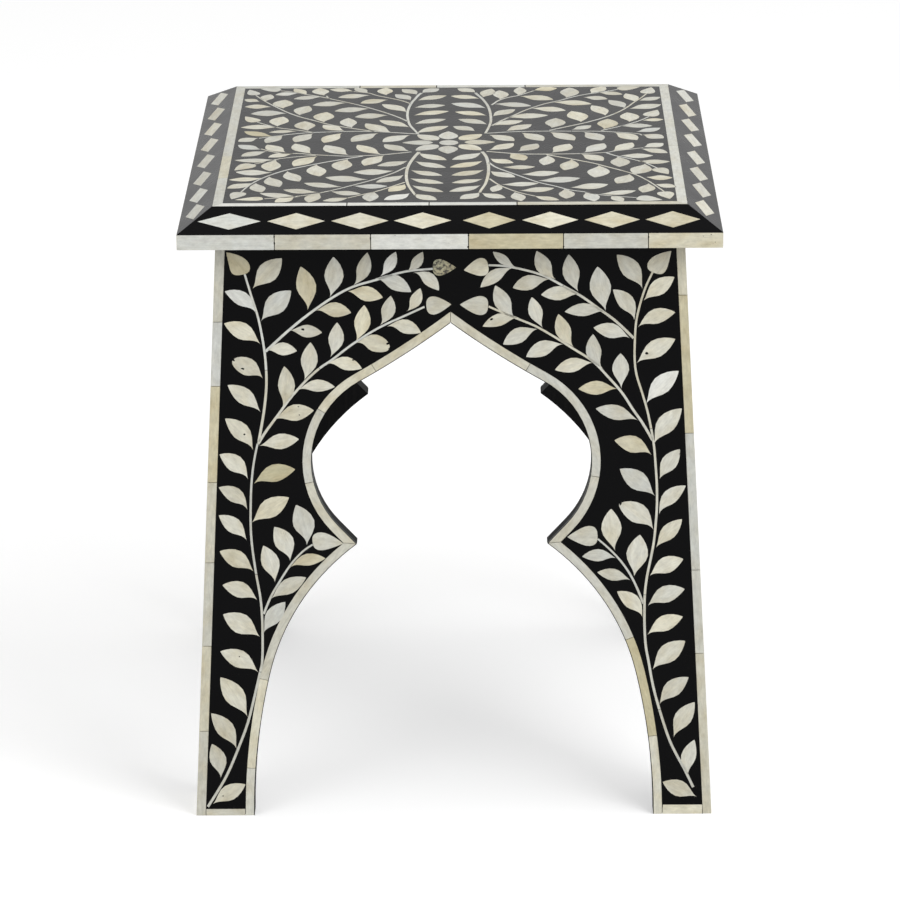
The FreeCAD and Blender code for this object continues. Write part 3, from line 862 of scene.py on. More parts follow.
@dataclass
class ArchBand:
    """The bone band along an arch: short lengths, mitred at the cusps and at the point.

    Args:
        line: the arch's edge.
        rim: width of the resin left between the cut edge and the bone.
        width: distance from the cut edge to the band's far side.
        depth: thickness of the slips.
        gap: width of the glue seams.
        step: length of the straight steps that follow a curve.
        seams: each half's hand and its seams below and above the cusp, a seam being its arc's place in
            the chain and its angle.
    """

    line: ArchLine = field(default_factory=ArchLine)
    rim: float = 0.5
    width: float = 6.5
    depth: float = 2.0
    gap: float = 0.38
    step: float = 7.0
    seams: tuple[tuple[float, Seams, Seams], ...] = (
        (-1.0, ((0, 4.7), (0, 12.8)), ((1, -12.0), (1, 32.0), (2, 239.0))),
        (1.0, ((0, 7.5), (1, 21.8)), ((1, -9.0), (2, 239.0))),
    )

    def sweep(self, work: BoneWork, runs: Sequence[Run], near: float, far: float) -> list[bmesh.types.BMVert]:
        """Sweep the band's section along part of the edge.

        Args:
            work: mesh that gets the length.
            runs: the arcs and straights it follows.
            near: distance of its near side from the cut edge.
            far: distance of its far side.

        Returns:
            The length's vertices.
        """
        before = set(work.mesh.verts)
        face = self.section(work, runs[0], near, far)
        for run in runs:
            if isinstance(run, Arc):
                turn = math.radians(run.end - run.start)
                swept = bmesh.ops.spin(
                    work.mesh,
                    geom=[face, *face.edges, *face.verts],
                    cent=(*run.centre, 0.0),
                    axis=(0.0, 0.0, 1.0),
                    angle=turn,
                    steps=max(1, round(abs(turn) * run.radius / self.step)),
                    space=Matrix.Identity(4),
                )["geom_last"]
                face = only(bmesh.types.BMFace, swept)[0]
            else:
                grown = bmesh.ops.extrude_face_region(work.mesh, geom=[face])["geom"]
                face = only(bmesh.types.BMFace, grown)[0]
                step = Vector((*run.tip, 0.0)) - Vector((*run.base, 0.0))
                bmesh.ops.translate(work.mesh, vec=step, verts=face.verts)
        return [vert for vert in work.mesh.verts if vert not in before]

    def section(self, work: BoneWork, run: Run, near: float, far: float) -> bmesh.types.BMFace:
        """Draw the band's section at the start of a run.

        Args:
            work: mesh that gets it.
            run: the arc or straight that starts there.
            near: distance of its near side from the cut edge.
            far: distance of its far side.

        Returns:
            The section's face.
        """
        if isinstance(run, Arc):
            angle = math.radians(run.start)
            out = Vector((math.cos(angle), math.sin(angle)))
            edge = Vector(run.centre) + out * run.radius
            out *= run.outward
        else:
            edge = Vector(run.base)
            along = (Vector(run.tip) - edge).normalized()
            out = Vector((along.y, -along.x))
        corners = [(near, -self.depth), (far, -self.depth), (far, 0.0), (near, 0.0)]
        verts = [work.mesh.verts.new((*(edge + out * across), deep)) for across, deep in corners]
        return work.mesh.faces.new(verts)

    def lengths(self, runs: Sequence[Run], seams: Seams) -> list[list[Run]]:
        """Divide a chain of runs at its seams.

        Args:
            runs: the arcs and straights in order.
            seams: for each seam, its arc's place in the chain and its angle.

        Returns:
            The runs of each length.
        """
        pieces: list[list[Run]] = [[]]
        for order, run in enumerate(runs):
            for place, angle in seams:
                if place == order and isinstance(run, Arc):
                    half = math.copysign(math.degrees(self.gap / 2 / run.radius), run.end - run.start)
                    pieces[-1].append(replace(run, end=angle - half))
                    pieces.append([])
                    run = replace(run, start=angle + half)
            pieces[-1].append(run)
        return pieces

    def lay(self, work: BoneWork, near: float, far: float, seamed: bool) -> None:
        """Lay both halves of the band.

        Args:
            work: mesh that gets them.
            near: distance of the near side from the cut edge.
            far: distance of the far side.
            seamed: whether it is laid in short lengths.
        """
        line = self.line
        cusp = Vector((*line.fall.base, 0.0))
        angle = math.radians(line.shoulder.end)
        rise = (Vector(line.fall.tip) - Vector(line.fall.base)).normalized()
        wedge = Vector((math.sin(angle), -math.cos(angle))) + rise
        above = Vector((-wedge.y, wedge.x, 0.0)).normalized()
        for hand, low_seams, high_seams in self.seams:
            below = self.lengths((line.flare, line.shoulder), low_seams if seamed else ())
            over = self.lengths((line.fall, line.lobe, line.keel), high_seams if seamed else ())
            for piece in (*below, *over):
                verts = self.sweep(work, piece, near, far)
                if piece is below[-1]:
                    verts = work.cut_away(cusp - above * self.gap / 2, above, verts)
                if piece is over[0]:
                    verts = work.cut_away(cusp + above * self.gap / 2, -above, verts)
                if piece is over[-1]:
                    verts = work.cut_away((self.gap / 2, 0.0, 0.0), (-1.0, 0.0, 0.0), verts)
                bmesh.ops.scale(work.mesh, vec=(hand, 1.0, 1.0), verts=verts)
                work.mark(verts, self.chord(verts))

    def chord(self, verts: Sequence[bmesh.types.BMVert]) -> Vector:
        """Find which way a length runs.

        Args:
            verts: its vertices.

        Returns:
            The direction from its far end to its highest point.
        """
        first = max(verts, key=lambda vert: vert.co.y)
        last = max(verts, key=lambda vert: (vert.co - first.co).length)
        return (first.co - last.co).xy


# Drawings of the vines

BUD = {"peak": 0.38, "swell": 0.5}
PETAL = {"peak": 0.5, "swell": 0.75, "close": 0.75}


def drawn(*rows: Sequence[float], bend: float = 0.0, **form: float) -> tuple[Leaf, ...]:
    """Read leaves from rows of numbers.

    Args:
        *rows: for each leaf its stalk end and its tip, across and up, its width, and its bow, tone, peak
            and close where they aren't the usual ones.
        bend: bow of the leaves whose row gives none, away from the face's middle.
        **form: what all of them share, such as the round form of buds.

    Returns:
        The leaves in the order of the rows.
    """
    leaves = []
    for x, y, tip_x, tip_y, width, *rest in rows:
        outward = (y - tip_y) * (x + tip_x) + (tip_x - x) * (y + tip_y)
        rest = rest or [math.copysign(bend, outward)]
        leaves.append(Leaf((x, y), (tip_x, tip_y), width, *rest, **form))
    return tuple(leaves)


# The vine on a panel, drawn on its face: across from the middle, up from the floor, in millimetres

PANEL_STEMS: tuple[Stem, ...] = (
    Stem(((-179, 6.8), (-170.4, 20.8), (-163.7, 33.2), (-156.4, 50.6), (-148.6, 71.7), (-142.4, 96),
          (-139, 110.5), (-137.4, 118), (-136.8, 134), (-136.8, 151), (-137.8, 166.7), (-140.5, 184.4),
          (-142.8, 203.3), (-143.7, 218), (-143.5, 234), (-142.7, 250.6), (-141.2, 264), (-139.2, 275),
          (-137.6, 282)), joints=(6, 11)),
    Stem(((-136.8, 283.3), (-132.8, 305), (-130.8, 322), (-130.6, 336), (-131.8, 352), (-135.3, 373),
          (-139.5, 388), (-144.5, 406)), joints=(3,)),
    Stem(((-130.7, 349.5), (-116, 363.2), (-99.8, 376.6), (-82.5, 388.8), (-68.5, 396.2), (-52, 401.2),
          (-32, 407), (-12, 409))),
    Stem(((-137.2, 281.7), (-131.7, 290.6), (-122.8, 302.8), (-114, 315), (-102.8, 327.8), (-92.8, 337),
          (-83.6, 343.4), (-69.2, 354.6), (-50.6, 366.4), (-32, 375.1), (-18, 381.6)), joints=(5,)),
    Stem(((-135.6, 154.4), (-130.6, 166.7), (-125, 176.7), (-116, 191), (-107.2, 201), (-99.4, 206.7)),
         width=1.7),
    Stem(((174, 20.5), (167.8, 34), (161, 47), (155.6, 59.4), (149, 80.6), (144.4, 98.3), (141, 117),
          (138.9, 129), (138, 142), (137.8, 155.6), (138, 167.8), (139.4, 181), (142.2, 195.6), (144.4, 209),
          (145.6, 223.3), (146.2, 234), (146.1, 249.4), (145.2, 262.8), (143.9, 278.3), (141.7, 291.7),
          (138.9, 305), (135.1, 318.3), (131.2, 331), (129.8, 342), (129.8, 355), (130.6, 369.3),
          (133.2, 382), (137.2, 395), (142.3, 406.4)), joints=(4, 10, 19)),
    Stem(((129, 358), (116.4, 370.4), (105, 379.1), (91.8, 388.8), (79, 396.3), (66.1, 403.4), (52, 407.9),
          (38, 410.7), (26.5, 411.4)), joints=(4,)),
    Stem(((142.8, 283), (135.4, 296), (128.6, 306), (120.8, 318.3), (110.6, 330.3), (100.3, 341.2),
          (85.8, 350.9), (71.5, 360.2), (58.9, 367.5), (45, 373.4), (26.5, 381.6)), joints=(5,)),
    Stem(((136.9, 161), (133, 171.3), (127.6, 182.7), (120.9, 192.8), (113.1, 201.6), (104, 210)), width=1.7),
)
PANEL_LEAVES = drawn(
    (-175.5, 8.6, -151.4, 24, 12, 0.07), (-169.3, 28.5, -175, 55.3, 12, -0.13),
    (-157.2, 51, -175, 78.8, 13, -0.13), (-148.7, 75.8, -167.8, 106.3, 15, -0.07),
    (-140.3, 109.8, -167.4, 126.1, 13.5, -0.14), (-138.5, 136.8, -164.8, 154.2, 15.3, -0.07),
    (-139.8, 164.5, -164.8, 176.3, 12.2, -0.17), (-142.2, 186.2, -166.3, 201.7, 13, -0.13),
    (-146.7, 209.6, -166.3, 228.6, 11.5, -0.14), (-145.9, 232.2, -165.9, 249.4, 11.2, -0.25),
    (-145, 255.2, -164.8, 273.9, 12.5, -0.2), (-141, 276.7, -160.3, 300.3, 12.5, -0.17),
    (-135, 304.8, -158, 325, 12, -0.1), (-133, 329.7, -154.5, 342.5, 13, -0.17, None, 0.63, 0.5),
    (-134.3, 354.7, -159.6, 370, 12.5, -0.13), (-137, 377, -158.6, 393.3, 10.5, -0.23, 0.05),
    (-139.3, 395, -118.1, 417, 14.5, 0.02), (-133.6, 371.5, -112, 393.6, 14.5, 0.07),
    (-100.7, 379, -105, 411, 14, -0.12, 0.72), (-85, 388.5, -81.9, 417.9, 13.5, -0.12),
    (-68.6, 397.1, -58.1, 421, 10, -0.2), (-49.3, 403.6, -38.1, 421.4, 8.3, -0.13),
    (-30.7, 407.2, -19.2, 421.2, 7.6, -0.18), (-130.4, 350, -108.6, 349.7, 9.5, 0.15),
    (-113.6, 365, -90.7, 363.1, 9.3, 0.02), (-95, 379, -70, 377.4, 10.8, 0.14, 0.7),
    (-72.5, 393, -47.6, 388.4, 11, 0.06), (-53.5, 401.9, -27.6, 392.3, 11, 0.2),
    (-26, 406.2, -8.1, 393.3, 9.3, 0.26), (-120, 308, -117.8, 338.6, 12, -0.17),
    (-104, 328, -99, 356, 12, -0.1), (-85.3, 345, -80, 370.4, 11, -0.14),
    (-67.1, 356.4, -60.7, 382.9, 11.5, -0.12, 0.65), (-50, 368.2, -42, 389.6, 10, -0.19),
    (-31, 378.2, -21.2, 395, 8.4, -0.18), (-136.7, 280, -108.3, 285, 11.5, 0.05),
    (-125, 299.4, -97.4, 306.1, 12.2, 0.12), (-108.3, 321.1, -82.2, 323.3, 9, 0.17),
    (-87.6, 340.1, -62.9, 336.6, 9.8, 0.2), (-66.7, 355.3, -43.4, 351, 12.5, 0.22, 0.6, 0.63, 0.45),
    (-45, 367.1, -21, 362.6, 10.3, 0.23), (-141.1, 251.7, -111.3, 262.6, 13, 0.17, 0.93),
    (-143, 222.8, -116.1, 241.7, 14.2, 0.08), (-104.1, 205.6, -111.1, 236.1, 15.5, -0.15),
    (-116.1, 193.9, -126.9, 219.8, 14, -0.16), (-127.2, 177.8, -135, 205.8, 13, -0.1),
    (-116.1, 189.2, -90.7, 196, 9, 0.2), (-130.4, 165.6, -104.8, 181.8, 11.5, 0.08),
    (-136.1, 139.8, -120, 163.4, 11.8, 0.08), (176.7, 12.9, 151.9, 24.6, 12.5, -0.04),
    (170.6, 28.3, 174.6, 57, 10.8, 0.18), (159.4, 58.6, 174.4, 85.9, 12.7, 0.1),
    (148.9, 84, 169.8, 105, 12.5, 0.14), (143.7, 110.6, 167.2, 132.6, 14.2, 0.1),
    (139.8, 137, 165.3, 151, 12, 0.14), (140, 158.9, 166.5, 171.8, 12.8, 0.18),
    (141.3, 181.6, 165.3, 194.4, 12.5, 0.14), (145.6, 202.8, 164.2, 224.2, 11, 0.07),
    (147.8, 227.4, 166.6, 249.2, 10.8, 0.22), (147.8, 253.8, 162.2, 276.2, 11.5, 0.08),
    (143.9, 279.8, 163.3, 306.3, 13.5, 0.14), (138, 309.5, 160.9, 333.8, 13.3, 0.12),
    (131, 339.4, 158.3, 357.2, 13, 0.1), (131.9, 365.5, 158.1, 376.6, 11, 0.2),
    (135.7, 385, 157.3, 402.2, 11.6, 0.08), (135, 393.6, 116.9, 418.4, 13.3, -0.13),
    (129.3, 370.4, 114.3, 393.3, 11.3, -0.23), (109.5, 377.6, 103.4, 410, 15, 0.05),
    (90.4, 391.4, 83.2, 418.9, 12, 0.13), (74.3, 400.7, 60.7, 421.4, 11.2, 0.16),
    (45.7, 410, 30, 421, 6.6, 0.06), (126.4, 357.9, 100.7, 365.7, 11, -0.12),
    (109.3, 377.1, 80.4, 377.4, 9.5, -0.12), (92.1, 390, 63.8, 389.8, 10.3, -0.08, None, 0.66),
    (70.7, 401, 43.9, 394.9, 10.8, -0.1, None, 0.66), (44.3, 409.3, 21.2, 395.4, 9.2, -0.15),
    (120.6, 320.6, 119.8, 346.9, 12, 0.02, None, 0.66), (108, 335.5, 100.4, 361, 11, 0.26),
    (87.1, 351.4, 75.9, 375.7, 11, 0.15), (65, 365.7, 57.2, 388.1, 10, 0.09),
    (45.7, 372.9, 31.6, 396.7, 11.8, 0.13), (49, 373, 22.6, 367, 9, -0.17),
    (61.7, 365, 37, 353.8, 11.2, -0.12), (79.6, 353.6, 53.2, 344.7, 11.3, -0.16),
    (100.7, 340, 73.6, 335, 10.5, -0.1), (117.8, 320.8, 90.2, 321, 10.3, -0.07),
    (132.5, 297.6, 102.4, 306.5, 11, -0.09), (142.2, 271.9, 115.8, 283, 12.5, -0.18),
    (144.8, 241.4, 119.7, 261.8, 14, -0.08), (143.9, 216.1, 119.2, 235.6, 14.8, -0.2, None, 0.63, 0.65),
    (116.7, 200.6, 113.6, 232.2, 14.5, 0.08), (130.2, 181.1, 134.2, 212.8, 15.5),
    (117.5, 195, 93.1, 196.6, 9.2, -0.15), (127.9, 178.6, 103.9, 184.7, 9, -0.09),
    (136.4, 150.2, 118.1, 170.2, 11.2, -0.22),
)
PANEL_BUDS = drawn(
    (-145.5, 405.5, -157, 421.5, 14, -0.13, 0.8), (-12.3, 410, 4, 409.8, 12, 0, 1.0),
    (-17, 382.1, 0.5, 383.2, 13.2), (-99.8, 208.8, -77.9, 207.2, 13.4, 0.05),
    (142.5, 405.5, 155, 421, 13.8, 0.09), (26.7, 411, 9.6, 407.9, 13), (26.5, 381.9, 6.7, 383, 13.8),
    (104, 212.3, 82.5, 211.3, 15),
    **BUD,
)
FRONT_PITS: tuple[Pit, ...] = (
    Pit((-104.2, 365.5), (2.3, 1.8)), Pit((-147.1, 337), (3.2, 1.5), -12),
    Pit((-153.7, 343.8), (3, 1.7), 125), Pit((-146.9, 288.7), (1.7, 1.4)), Pit((-108.3, 308.9), (1.1, 0.8)),
    Pit((-107.7, 302.8), (1, 0.8)), Pit((-68.9, 343), (2, 1.1), -20), Pit((-44.3, 354.8), (2.8, 1.6), 10),
    Pit((-43, 351.2), (2.2, 1.2), -5), Pit((28.8, 372.2), (2.4, 1.3), 30), Pit((138.4, 346.8), (2.6, 2)),
    Pit((162.3, 272.7), (1.1, 0.9)), Pit((120.4, 236.2), (2.6, 1.4), 60), Pit((-153.8, 122.1), (1, 0.8)),
    Pit((-167.8, 15.1), (1.3, 1)),
)

# The vines on the top, drawn on the field from its middle: to the right and to the back, in millimetres

TOP_STEMS: tuple[Stem, ...] = (
    Stem(((-23.2, -26.5), (-26.5, -40.7), (-29.3, -55.7), (-31, -70.7), (-31.5, -85.7), (-31.2, -99),
          (-29.8, -114), (-27.3, -127.3), (-24.3, -140.7)), width=2.5, joints=(4,)),
    Stem(((-32.3, -67.3), (-40.7, -82.3), (-54, -99), (-70.7, -115.7), (-85.7, -129), (-100.7, -139),
          (-119, -145.7), (-130.7, -147.7)), width=1.6, joints=(4,)),
    Stem(((-32.3, -107.3), (-40.7, -117.3), (-50.7, -129), (-62.3, -139), (-72.3, -147.3)), width=1.5),
    Stem(((-28.7, -26.2), (-40.7, -30.7), (-50.7, -33.7), (-64, -36), (-74, -37), (-89, -34.7),
          (-100.7, -32.3), (-110.7, -29), (-122.3, -28.7), (-132.3, -22.3), (-139, -15.7)),
         width=1.6, joints=(5,)),
    Stem(((-98.2, -34.3), (-114, -38.7), (-126.5, -44.8), (-142.3, -58.2)), width=1.5),
    Stem(((-64, -37.3), (-75.7, -44), (-90.7, -53.2), (-109, -66.5), (-119, -74.8), (-128.2, -85.7),
          (-134.8, -95.7), (-139.8, -105.7), (-144, -117.3), (-147.7, -130.7)), width=1.6, joints=(5,)),
    Stem(((22.7, -26.5), (25.2, -37.3), (26.5, -49), (27.3, -65.7), (27.2, -82.3), (26.3, -99), (24.7, -114),
          (21.8, -129), (21, -134.8)), width=2.5, joints=(4,)),
    Stem(((27.7, -56.5), (32.7, -69), (41, -80.7), (51, -94), (62.7, -109), (74.3, -119), (84.3, -129),
          (94.3, -134), (102.7, -140.7), (116, -145.7), (131.3, -149.8)), width=1.6, joints=(5,)),
    Stem(((28, -99), (31.8, -109), (36.8, -119), (44.3, -129.8), (51, -137.3), (60.2, -144.8)), width=1.5),
    Stem(((26, -25.7), (36, -29), (51, -33.2), (71, -34), (94.3, -33.2), (112.7, -30.3), (119.3, -26.5),
          (131, -21.7), (140.7, -17.7)), width=1.6, joints=(4,)),
    Stem(((112.7, -30.7), (119.3, -39), (129.3, -47.3), (139.3, -57.3), (148.5, -73.2)), width=1.5),
    Stem(((69.3, -35.3), (79.3, -42.3), (89.3, -49), (102.7, -59), (112.7, -69), (122.7, -79), (132.7, -90.7),
          (141, -107.3), (146, -120.7), (151, -134.8)), width=1.6, joints=(5,)),
    Stem(((-24.3, 22.7), (-27.3, 34.3), (-30.7, 47.7), (-32.3, 61), (-33.2, 77.7), (-32.8, 94.3),
          (-30.7, 112.7), (-28.2, 124.3), (-25.7, 136), (-23.2, 143.5)), width=1.7, thin=1.25, joints=(5,)),
    Stem(((-32.7, 59.3), (-40.7, 72.7), (-50.7, 86), (-62.3, 99.3), (-74, 111), (-85.7, 121), (-93.2, 127.7),
          (-96, 136)), width=1.6, joints=(4,)),
    Stem(((-93.2, 127.7), (-102.3, 134.3), (-110.7, 139.7), (-122.3, 147.7), (-131.7, 151.8)), width=1.5),
    Stem(((-31.2, 111), (-39, 121), (-49, 129.3), (-57.3, 136), (-64, 143.5), (-75.7, 148.5)), width=1.5),
    Stem(((-24.8, 23.5), (-40.7, 27.3), (-57.3, 31), (-74, 31.8), (-92.3, 30.2), (-105.7, 28.5), (-119, 24.3),
          (-130.7, 19), (-142, 13.5)), width=1.6, joints=(4,)),
    Stem(((-102.3, 29.3), (-114, 36), (-128.2, 42.7), (-139, 52.7), (-145.3, 59.3)), width=1.5),
    Stem(((-57.3, 31), (-69, 37.7), (-80.7, 44.3), (-92.3, 52.7), (-102.3, 62.7), (-114, 74.3), (-124, 87.7),
          (-130.7, 99.3), (-137.3, 111), (-144, 124.3), (-150, 138.5)), width=1.6, joints=(5,)),
    Stem(((25.2, 24.3), (27.7, 41), (29.3, 57.7), (29.3, 74.3), (28.5, 91), (26.8, 106), (23.5, 122.7),
          (20.2, 134.3), (17.7, 143)), width=1.8, thin=1.2, joints=(4,)),
    Stem(((30.2, 46), (37.7, 61), (46, 74.3), (56, 91), (69.3, 107.7), (81, 117.7), (92.7, 129.3),
          (102.7, 136.8), (112.7, 141.8), (127.2, 150.7)), width=1.6, joints=(5,)),
    Stem(((30.2, 106), (36, 120.2), (44.3, 129.3), (51, 134.3), (62.7, 148)), width=1.5),
    Stem(((26, 24.3), (39.3, 27.3), (52.7, 29), (71, 29.7), (89.3, 29.3), (109.3, 28.5), (122.7, 25.7),
          (137.7, 21.3), (140.7, 16.3)), width=1.6, joints=(4,)),
    Stem(((111, 30.7), (119.3, 37.3), (132.7, 49.3), (141, 59), (148, 70.2)), width=1.5),
    Stem(((72.7, 31.8), (86, 42.3), (99.3, 52.7), (112.7, 66), (122.7, 79.3), (131, 94.3), (137.7, 111),
          (144.3, 126), (148.5, 137.7)), width=1.6, joints=(4,)),
)
TOP_LEAVES = drawn(
    (-23.2, -29.8, -2.7, -49.5, 11.3), (-25.3, -52.3, -3.2, -69.8, 11), (-28.2, -75.7, -5.7, -90.7, 10.4),
    (-28.7, -97.3, -4.5, -111, 10.4), (-27, -115.7, -4.5, -133.2, 9.8), (-24.8, -137.3, -9, -154, 11.3),
    (-30.7, -50.7, -52.7, -64.3, 11.6), (-40.3, -77.3, -69.3, -81, 15), (-58.5, -99.8, -89, -94, 15),
    (-76.2, -118.7, -103.7, -108.5, 11.6), (-92.7, -132.3, -117.7, -125.7, 11.3),
    (-33.2, -88.5, -52.7, -107.8, 11.3), (-68.7, -116.2, -44.3, -117.7, 11.6),
    (-32, -112.8, -43.2, -131.7, 11.3), (-28.2, -136.5, -46, -152.7, 12.4),
    (-52.7, -130.7, -56, -156.7, 11.6), (-71, -146.5, -89, -154.8, 9.4), (-84, -130.3, -62.7, -137.7, 11),
    (-91, -133.3, -98.7, -158.5, 11.3), (-109, -144.3, -122.3, -157.7, 11, 0),
    (-105.3, -144.3, -134, -134.5, 11), (-29.8, -24.8, -48.7, -5.7, 12.4), (-50.2, -33.2, -68.3, -6.5, 12.4),
    (-74, -34.3, -91.7, -7.3, 15), (-101.2, -30.3, -114.2, -2.7, 13.2), (-119.9, -26.5, -134.6, -5.3, 12.4),
    (-138.2, -18.2, -155.7, -5.3, 11.6), (-47.8, -36, -62.1, -63.3, 13.9), (-96.5, -37.7, -112.7, -64, 14.4),
    (-114, -29.3, -132.3, -39.8, 10.5), (-134, -23.7, -152, -37, 11.3), (-124, -46.5, -156.5, -47.3, 10.5),
    (-126.1, -46.9, -129.3, -76.9, 14.4), (-74.1, -45.3, -79, -76, 15), (-96.3, -59.3, -93.2, -91.2, 14.4),
    (-116.8, -77.3, -107.3, -104.5, 12.4), (-129.2, -91, -120.8, -118.3, 12.8),
    (-137.9, -107.7, -132.8, -132, 11.3), (-127.7, -80.2, -154, -78.7, 14.4),
    (-133.7, -94.8, -157.7, -99.3, 10.5), (-140.7, -108.2, -157.7, -121.5, 11.3, 0),
    (22.3, -29.6, 1.2, -48.6, 12.4), (23.5, -52, -0.3, -69.2, 11.3), (24.3, -76, 1, -90.3, 11.3),
    (23.5, -99.8, 1.3, -109.8, 9.8), (21.8, -116.5, -0.3, -132.3, 11), (21, -135.3, 7.3, -151.5, 11.6),
    (28.8, -46.2, 45.5, -58.2, 11.6), (37.7, -68.7, 61, -68.7, 10.4), (28.8, -79.5, 46.5, -96, 11.6),
    (51, -88.3, 78, -83.2, 13.6), (62.3, -105.3, 92.7, -99, 14.7), (36.3, -114.3, 63, -112, 11),
    (34, -114, 30.2, -133.7, 8.7), (49, -130.7, 73.8, -124.8, 12.4), (85.2, -123.2, 112.2, -115.7, 14.4),
    (22.7, -136.5, 39.3, -149.5, 11.3), (45.7, -134.3, 50.2, -157.3, 10.5, 0),
    (59.7, -144.3, 76.8, -155.5, 9.4), (80.7, -126.5, 81.8, -152, 11.6), (95.2, -134.3, 101.3, -159, 11.6),
    (105.2, -140.7, 131.3, -132.3, 10.5), (113.5, -144.3, 121.3, -159.8, 9, 0), (27.7, -22.7, 46, -4.3, 12.4),
    (49, -26.5, 63.5, -6, 12.8), (73.5, -30.3, 86.8, -7, 14.1), (96.8, -30.7, 112.2, -6, 13.9),
    (117.7, -27.3, 133, -4.3, 12.8), (140.7, -17, 155.5, -6, 12.1), (42.7, -32, 53.5, -51.5, 12.8),
    (94.7, -35.3, 110.2, -53.7, 13.2), (138.5, -21.5, 157.7, -33.2, 11.3), (122.7, -39, 147, -39.8, 12.4),
    (121, -42, 121.6, -69.7, 14.4), (134.7, -54.8, 158.5, -56.5, 11.3), (140.2, -62, 131.8, -89.2, 15.5),
    (70.2, -37.7, 67.3, -64.5, 11.6), (87.5, -49, 81.8, -78, 13.6), (106.7, -65.3, 103.2, -97.5, 16.2),
    (128.2, -89, 118.5, -113.7, 13.9), (140.7, -114, 136, -137.3, 12.1), (139.7, -97.3, 158.5, -99.3, 12.4),
    (145.5, -116, 160.2, -123.7, 10.2, 0), (-25.4, 25.2, -2, 44.7, 12), (-27.3, 50.7, -4, 64.7, 11.3),
    (-28.2, 75.7, -2, 87.7, 11.3), (-28.2, 98.5, -4.8, 105.2, 11), (-25.7, 119.7, -4, 134, 11.3),
    (-22.7, 142.7, -9.8, 155.2, 11.6), (-30.7, 42.3, -53.7, 62.7, 12.1, 0), (-34, 86, -52.7, 109.2, 12.4),
    (-31.2, 120.7, -43.2, 138.5, 11), (-26.8, 137.7, -38.2, 154, 11), (-47.3, 76.3, -72.3, 71.8, 15),
    (-61.5, 96, -88, 89, 13.9), (-79.8, 113.5, -105.3, 106.8, 13.9), (-48.2, 122.3, -69, 112.5, 12.8),
    (-62.3, 136, -86.5, 129.7, 12.8), (-49.8, 136.3, -50.4, 158.5, 12.1), (-64.2, 143.5, -74.4, 159, 9, 0),
    (-75.7, 148.5, -93.7, 154, 10.5), (-97.2, 136, -101.5, 158.5, 13.2), (-99.3, 131.8, -120.3, 126, 10.5),
    (-110.7, 139.3, -121, 157.3, 9, 0), (-117.7, 143, -134.8, 138.5, 10.5), (-29.9, 19.7, -49.9, 0.7, 13.6),
    (-53.5, 25.7, -73, 2, 14.4), (-80.5, 26.3, -93, -0.6, 13.2), (-101.7, 25.7, -114.4, 1.7, 13.2),
    (-123.3, 21.8, -135.7, -0.3, 11.6), (-142, 13.5, -156.2, 3.8, 11.6), (-43.7, 27.7, -63.7, 53.5, 13.6),
    (-79, 33, -95.3, 49.7, 12.1), (-114, 31.8, -134.8, 29.3, 8.2), (-131.5, 18.5, -153.2, 32.7, 11.3),
    (-105.8, 33.5, -109.4, 60.5, 15.8), (-128.7, 43.5, -156.5, 43.5, 12.4), (-129.1, 46, -126.1, 74, 14.7),
    (-73.5, 41, -77.2, 69.3, 12.8), (-94.8, 57.3, -94, 86.8, 15.8), (-114, 77.7, -108.2, 105.2, 13.6),
    (-127, 98, -126.5, 123.7, 15.8), (-141.2, 119.7, -138.6, 140.2, 10.5), (-123.7, 83.5, -151, 82.7, 16.2),
    (-136.5, 102.7, -156.5, 103.5, 12.1), (-146, 118.5, -157.7, 125.7, 9.4, 0), (17.7, 30.2, 1.5, 44, 11.3),
    (26.8, 49, 5.3, 64.3, 11.6), (26.5, 74.3, 2.7, 85.7, 11.6), (26, 96.3, -0.3, 110.5, 13.6),
    (21, 124.3, -0.7, 132.7, 11.3), (18, 143, 4.3, 155.2, 11.3), (23.6, 128.5, 30.5, 153.8, 11.6, 0),
    (36.4, 121.8, 36.1, 148.8, 12.1), (50.2, 133.5, 51.8, 158.5, 9.8), (31.8, 108, 60.3, 101.8, 13.2),
    (31.3, 72.3, 48, 92.3, 11.6), (31.8, 46, 53.5, 59, 12.1), (40.7, 30.2, 59.8, 48.5, 12.1, 0),
    (41.3, 68, 72.7, 74.3, 14.4), (60.2, 94.8, 86, 87.7, 13.9), (76.8, 112.3, 106, 106.8, 14.4),
    (51.8, 131, 77, 120, 14.4), (62.7, 148.5, 80.7, 154.7, 12.8), (86.8, 125.2, 90.2, 156.3, 14.7),
    (106, 138.5, 117.3, 159.3, 11.6, 0), (100.2, 126.8, 118.5, 121.3, 11.6), (111.3, 141, 130.3, 134.7, 10.2),
    (27.7, 19.3, 46.5, 1.8, 13.2), (51.8, 24.7, 67.7, 1.8, 13.6), (72.7, 26.3, 90.7, 2.7, 14.4),
    (98, 26, 110.7, 2.3, 14.4), (120.7, 24, 136.8, 3, 13.9), (141.1, 17.7, 156.4, 7.4, 13.6),
    (89.3, 33, 104, 44.7, 9.8), (113, 34, 117.1, 63, 15.8), (125.2, 42.3, 149.7, 42.3, 11.6),
    (136.8, 26, 155.2, 36.8, 10.2), (132.6, 54.1, 132, 81.4, 14.7), (142.7, 58.5, 158.5, 61, 8.7, 0),
    (74.3, 37.7, 78, 66, 15.5), (96.6, 54.3, 90.3, 86, 15.8), (115.5, 72.7, 106, 102.7, 12.4),
    (130.7, 94.3, 119.3, 118.2, 11.6), (138.8, 112.7, 132.7, 137.3, 11.3),
    (134.3, 92.3, 158.5, 104.3, 13.9, 0), (142.2, 116, 158.8, 126.3, 10.2, 0),
    bend=0.1,
)
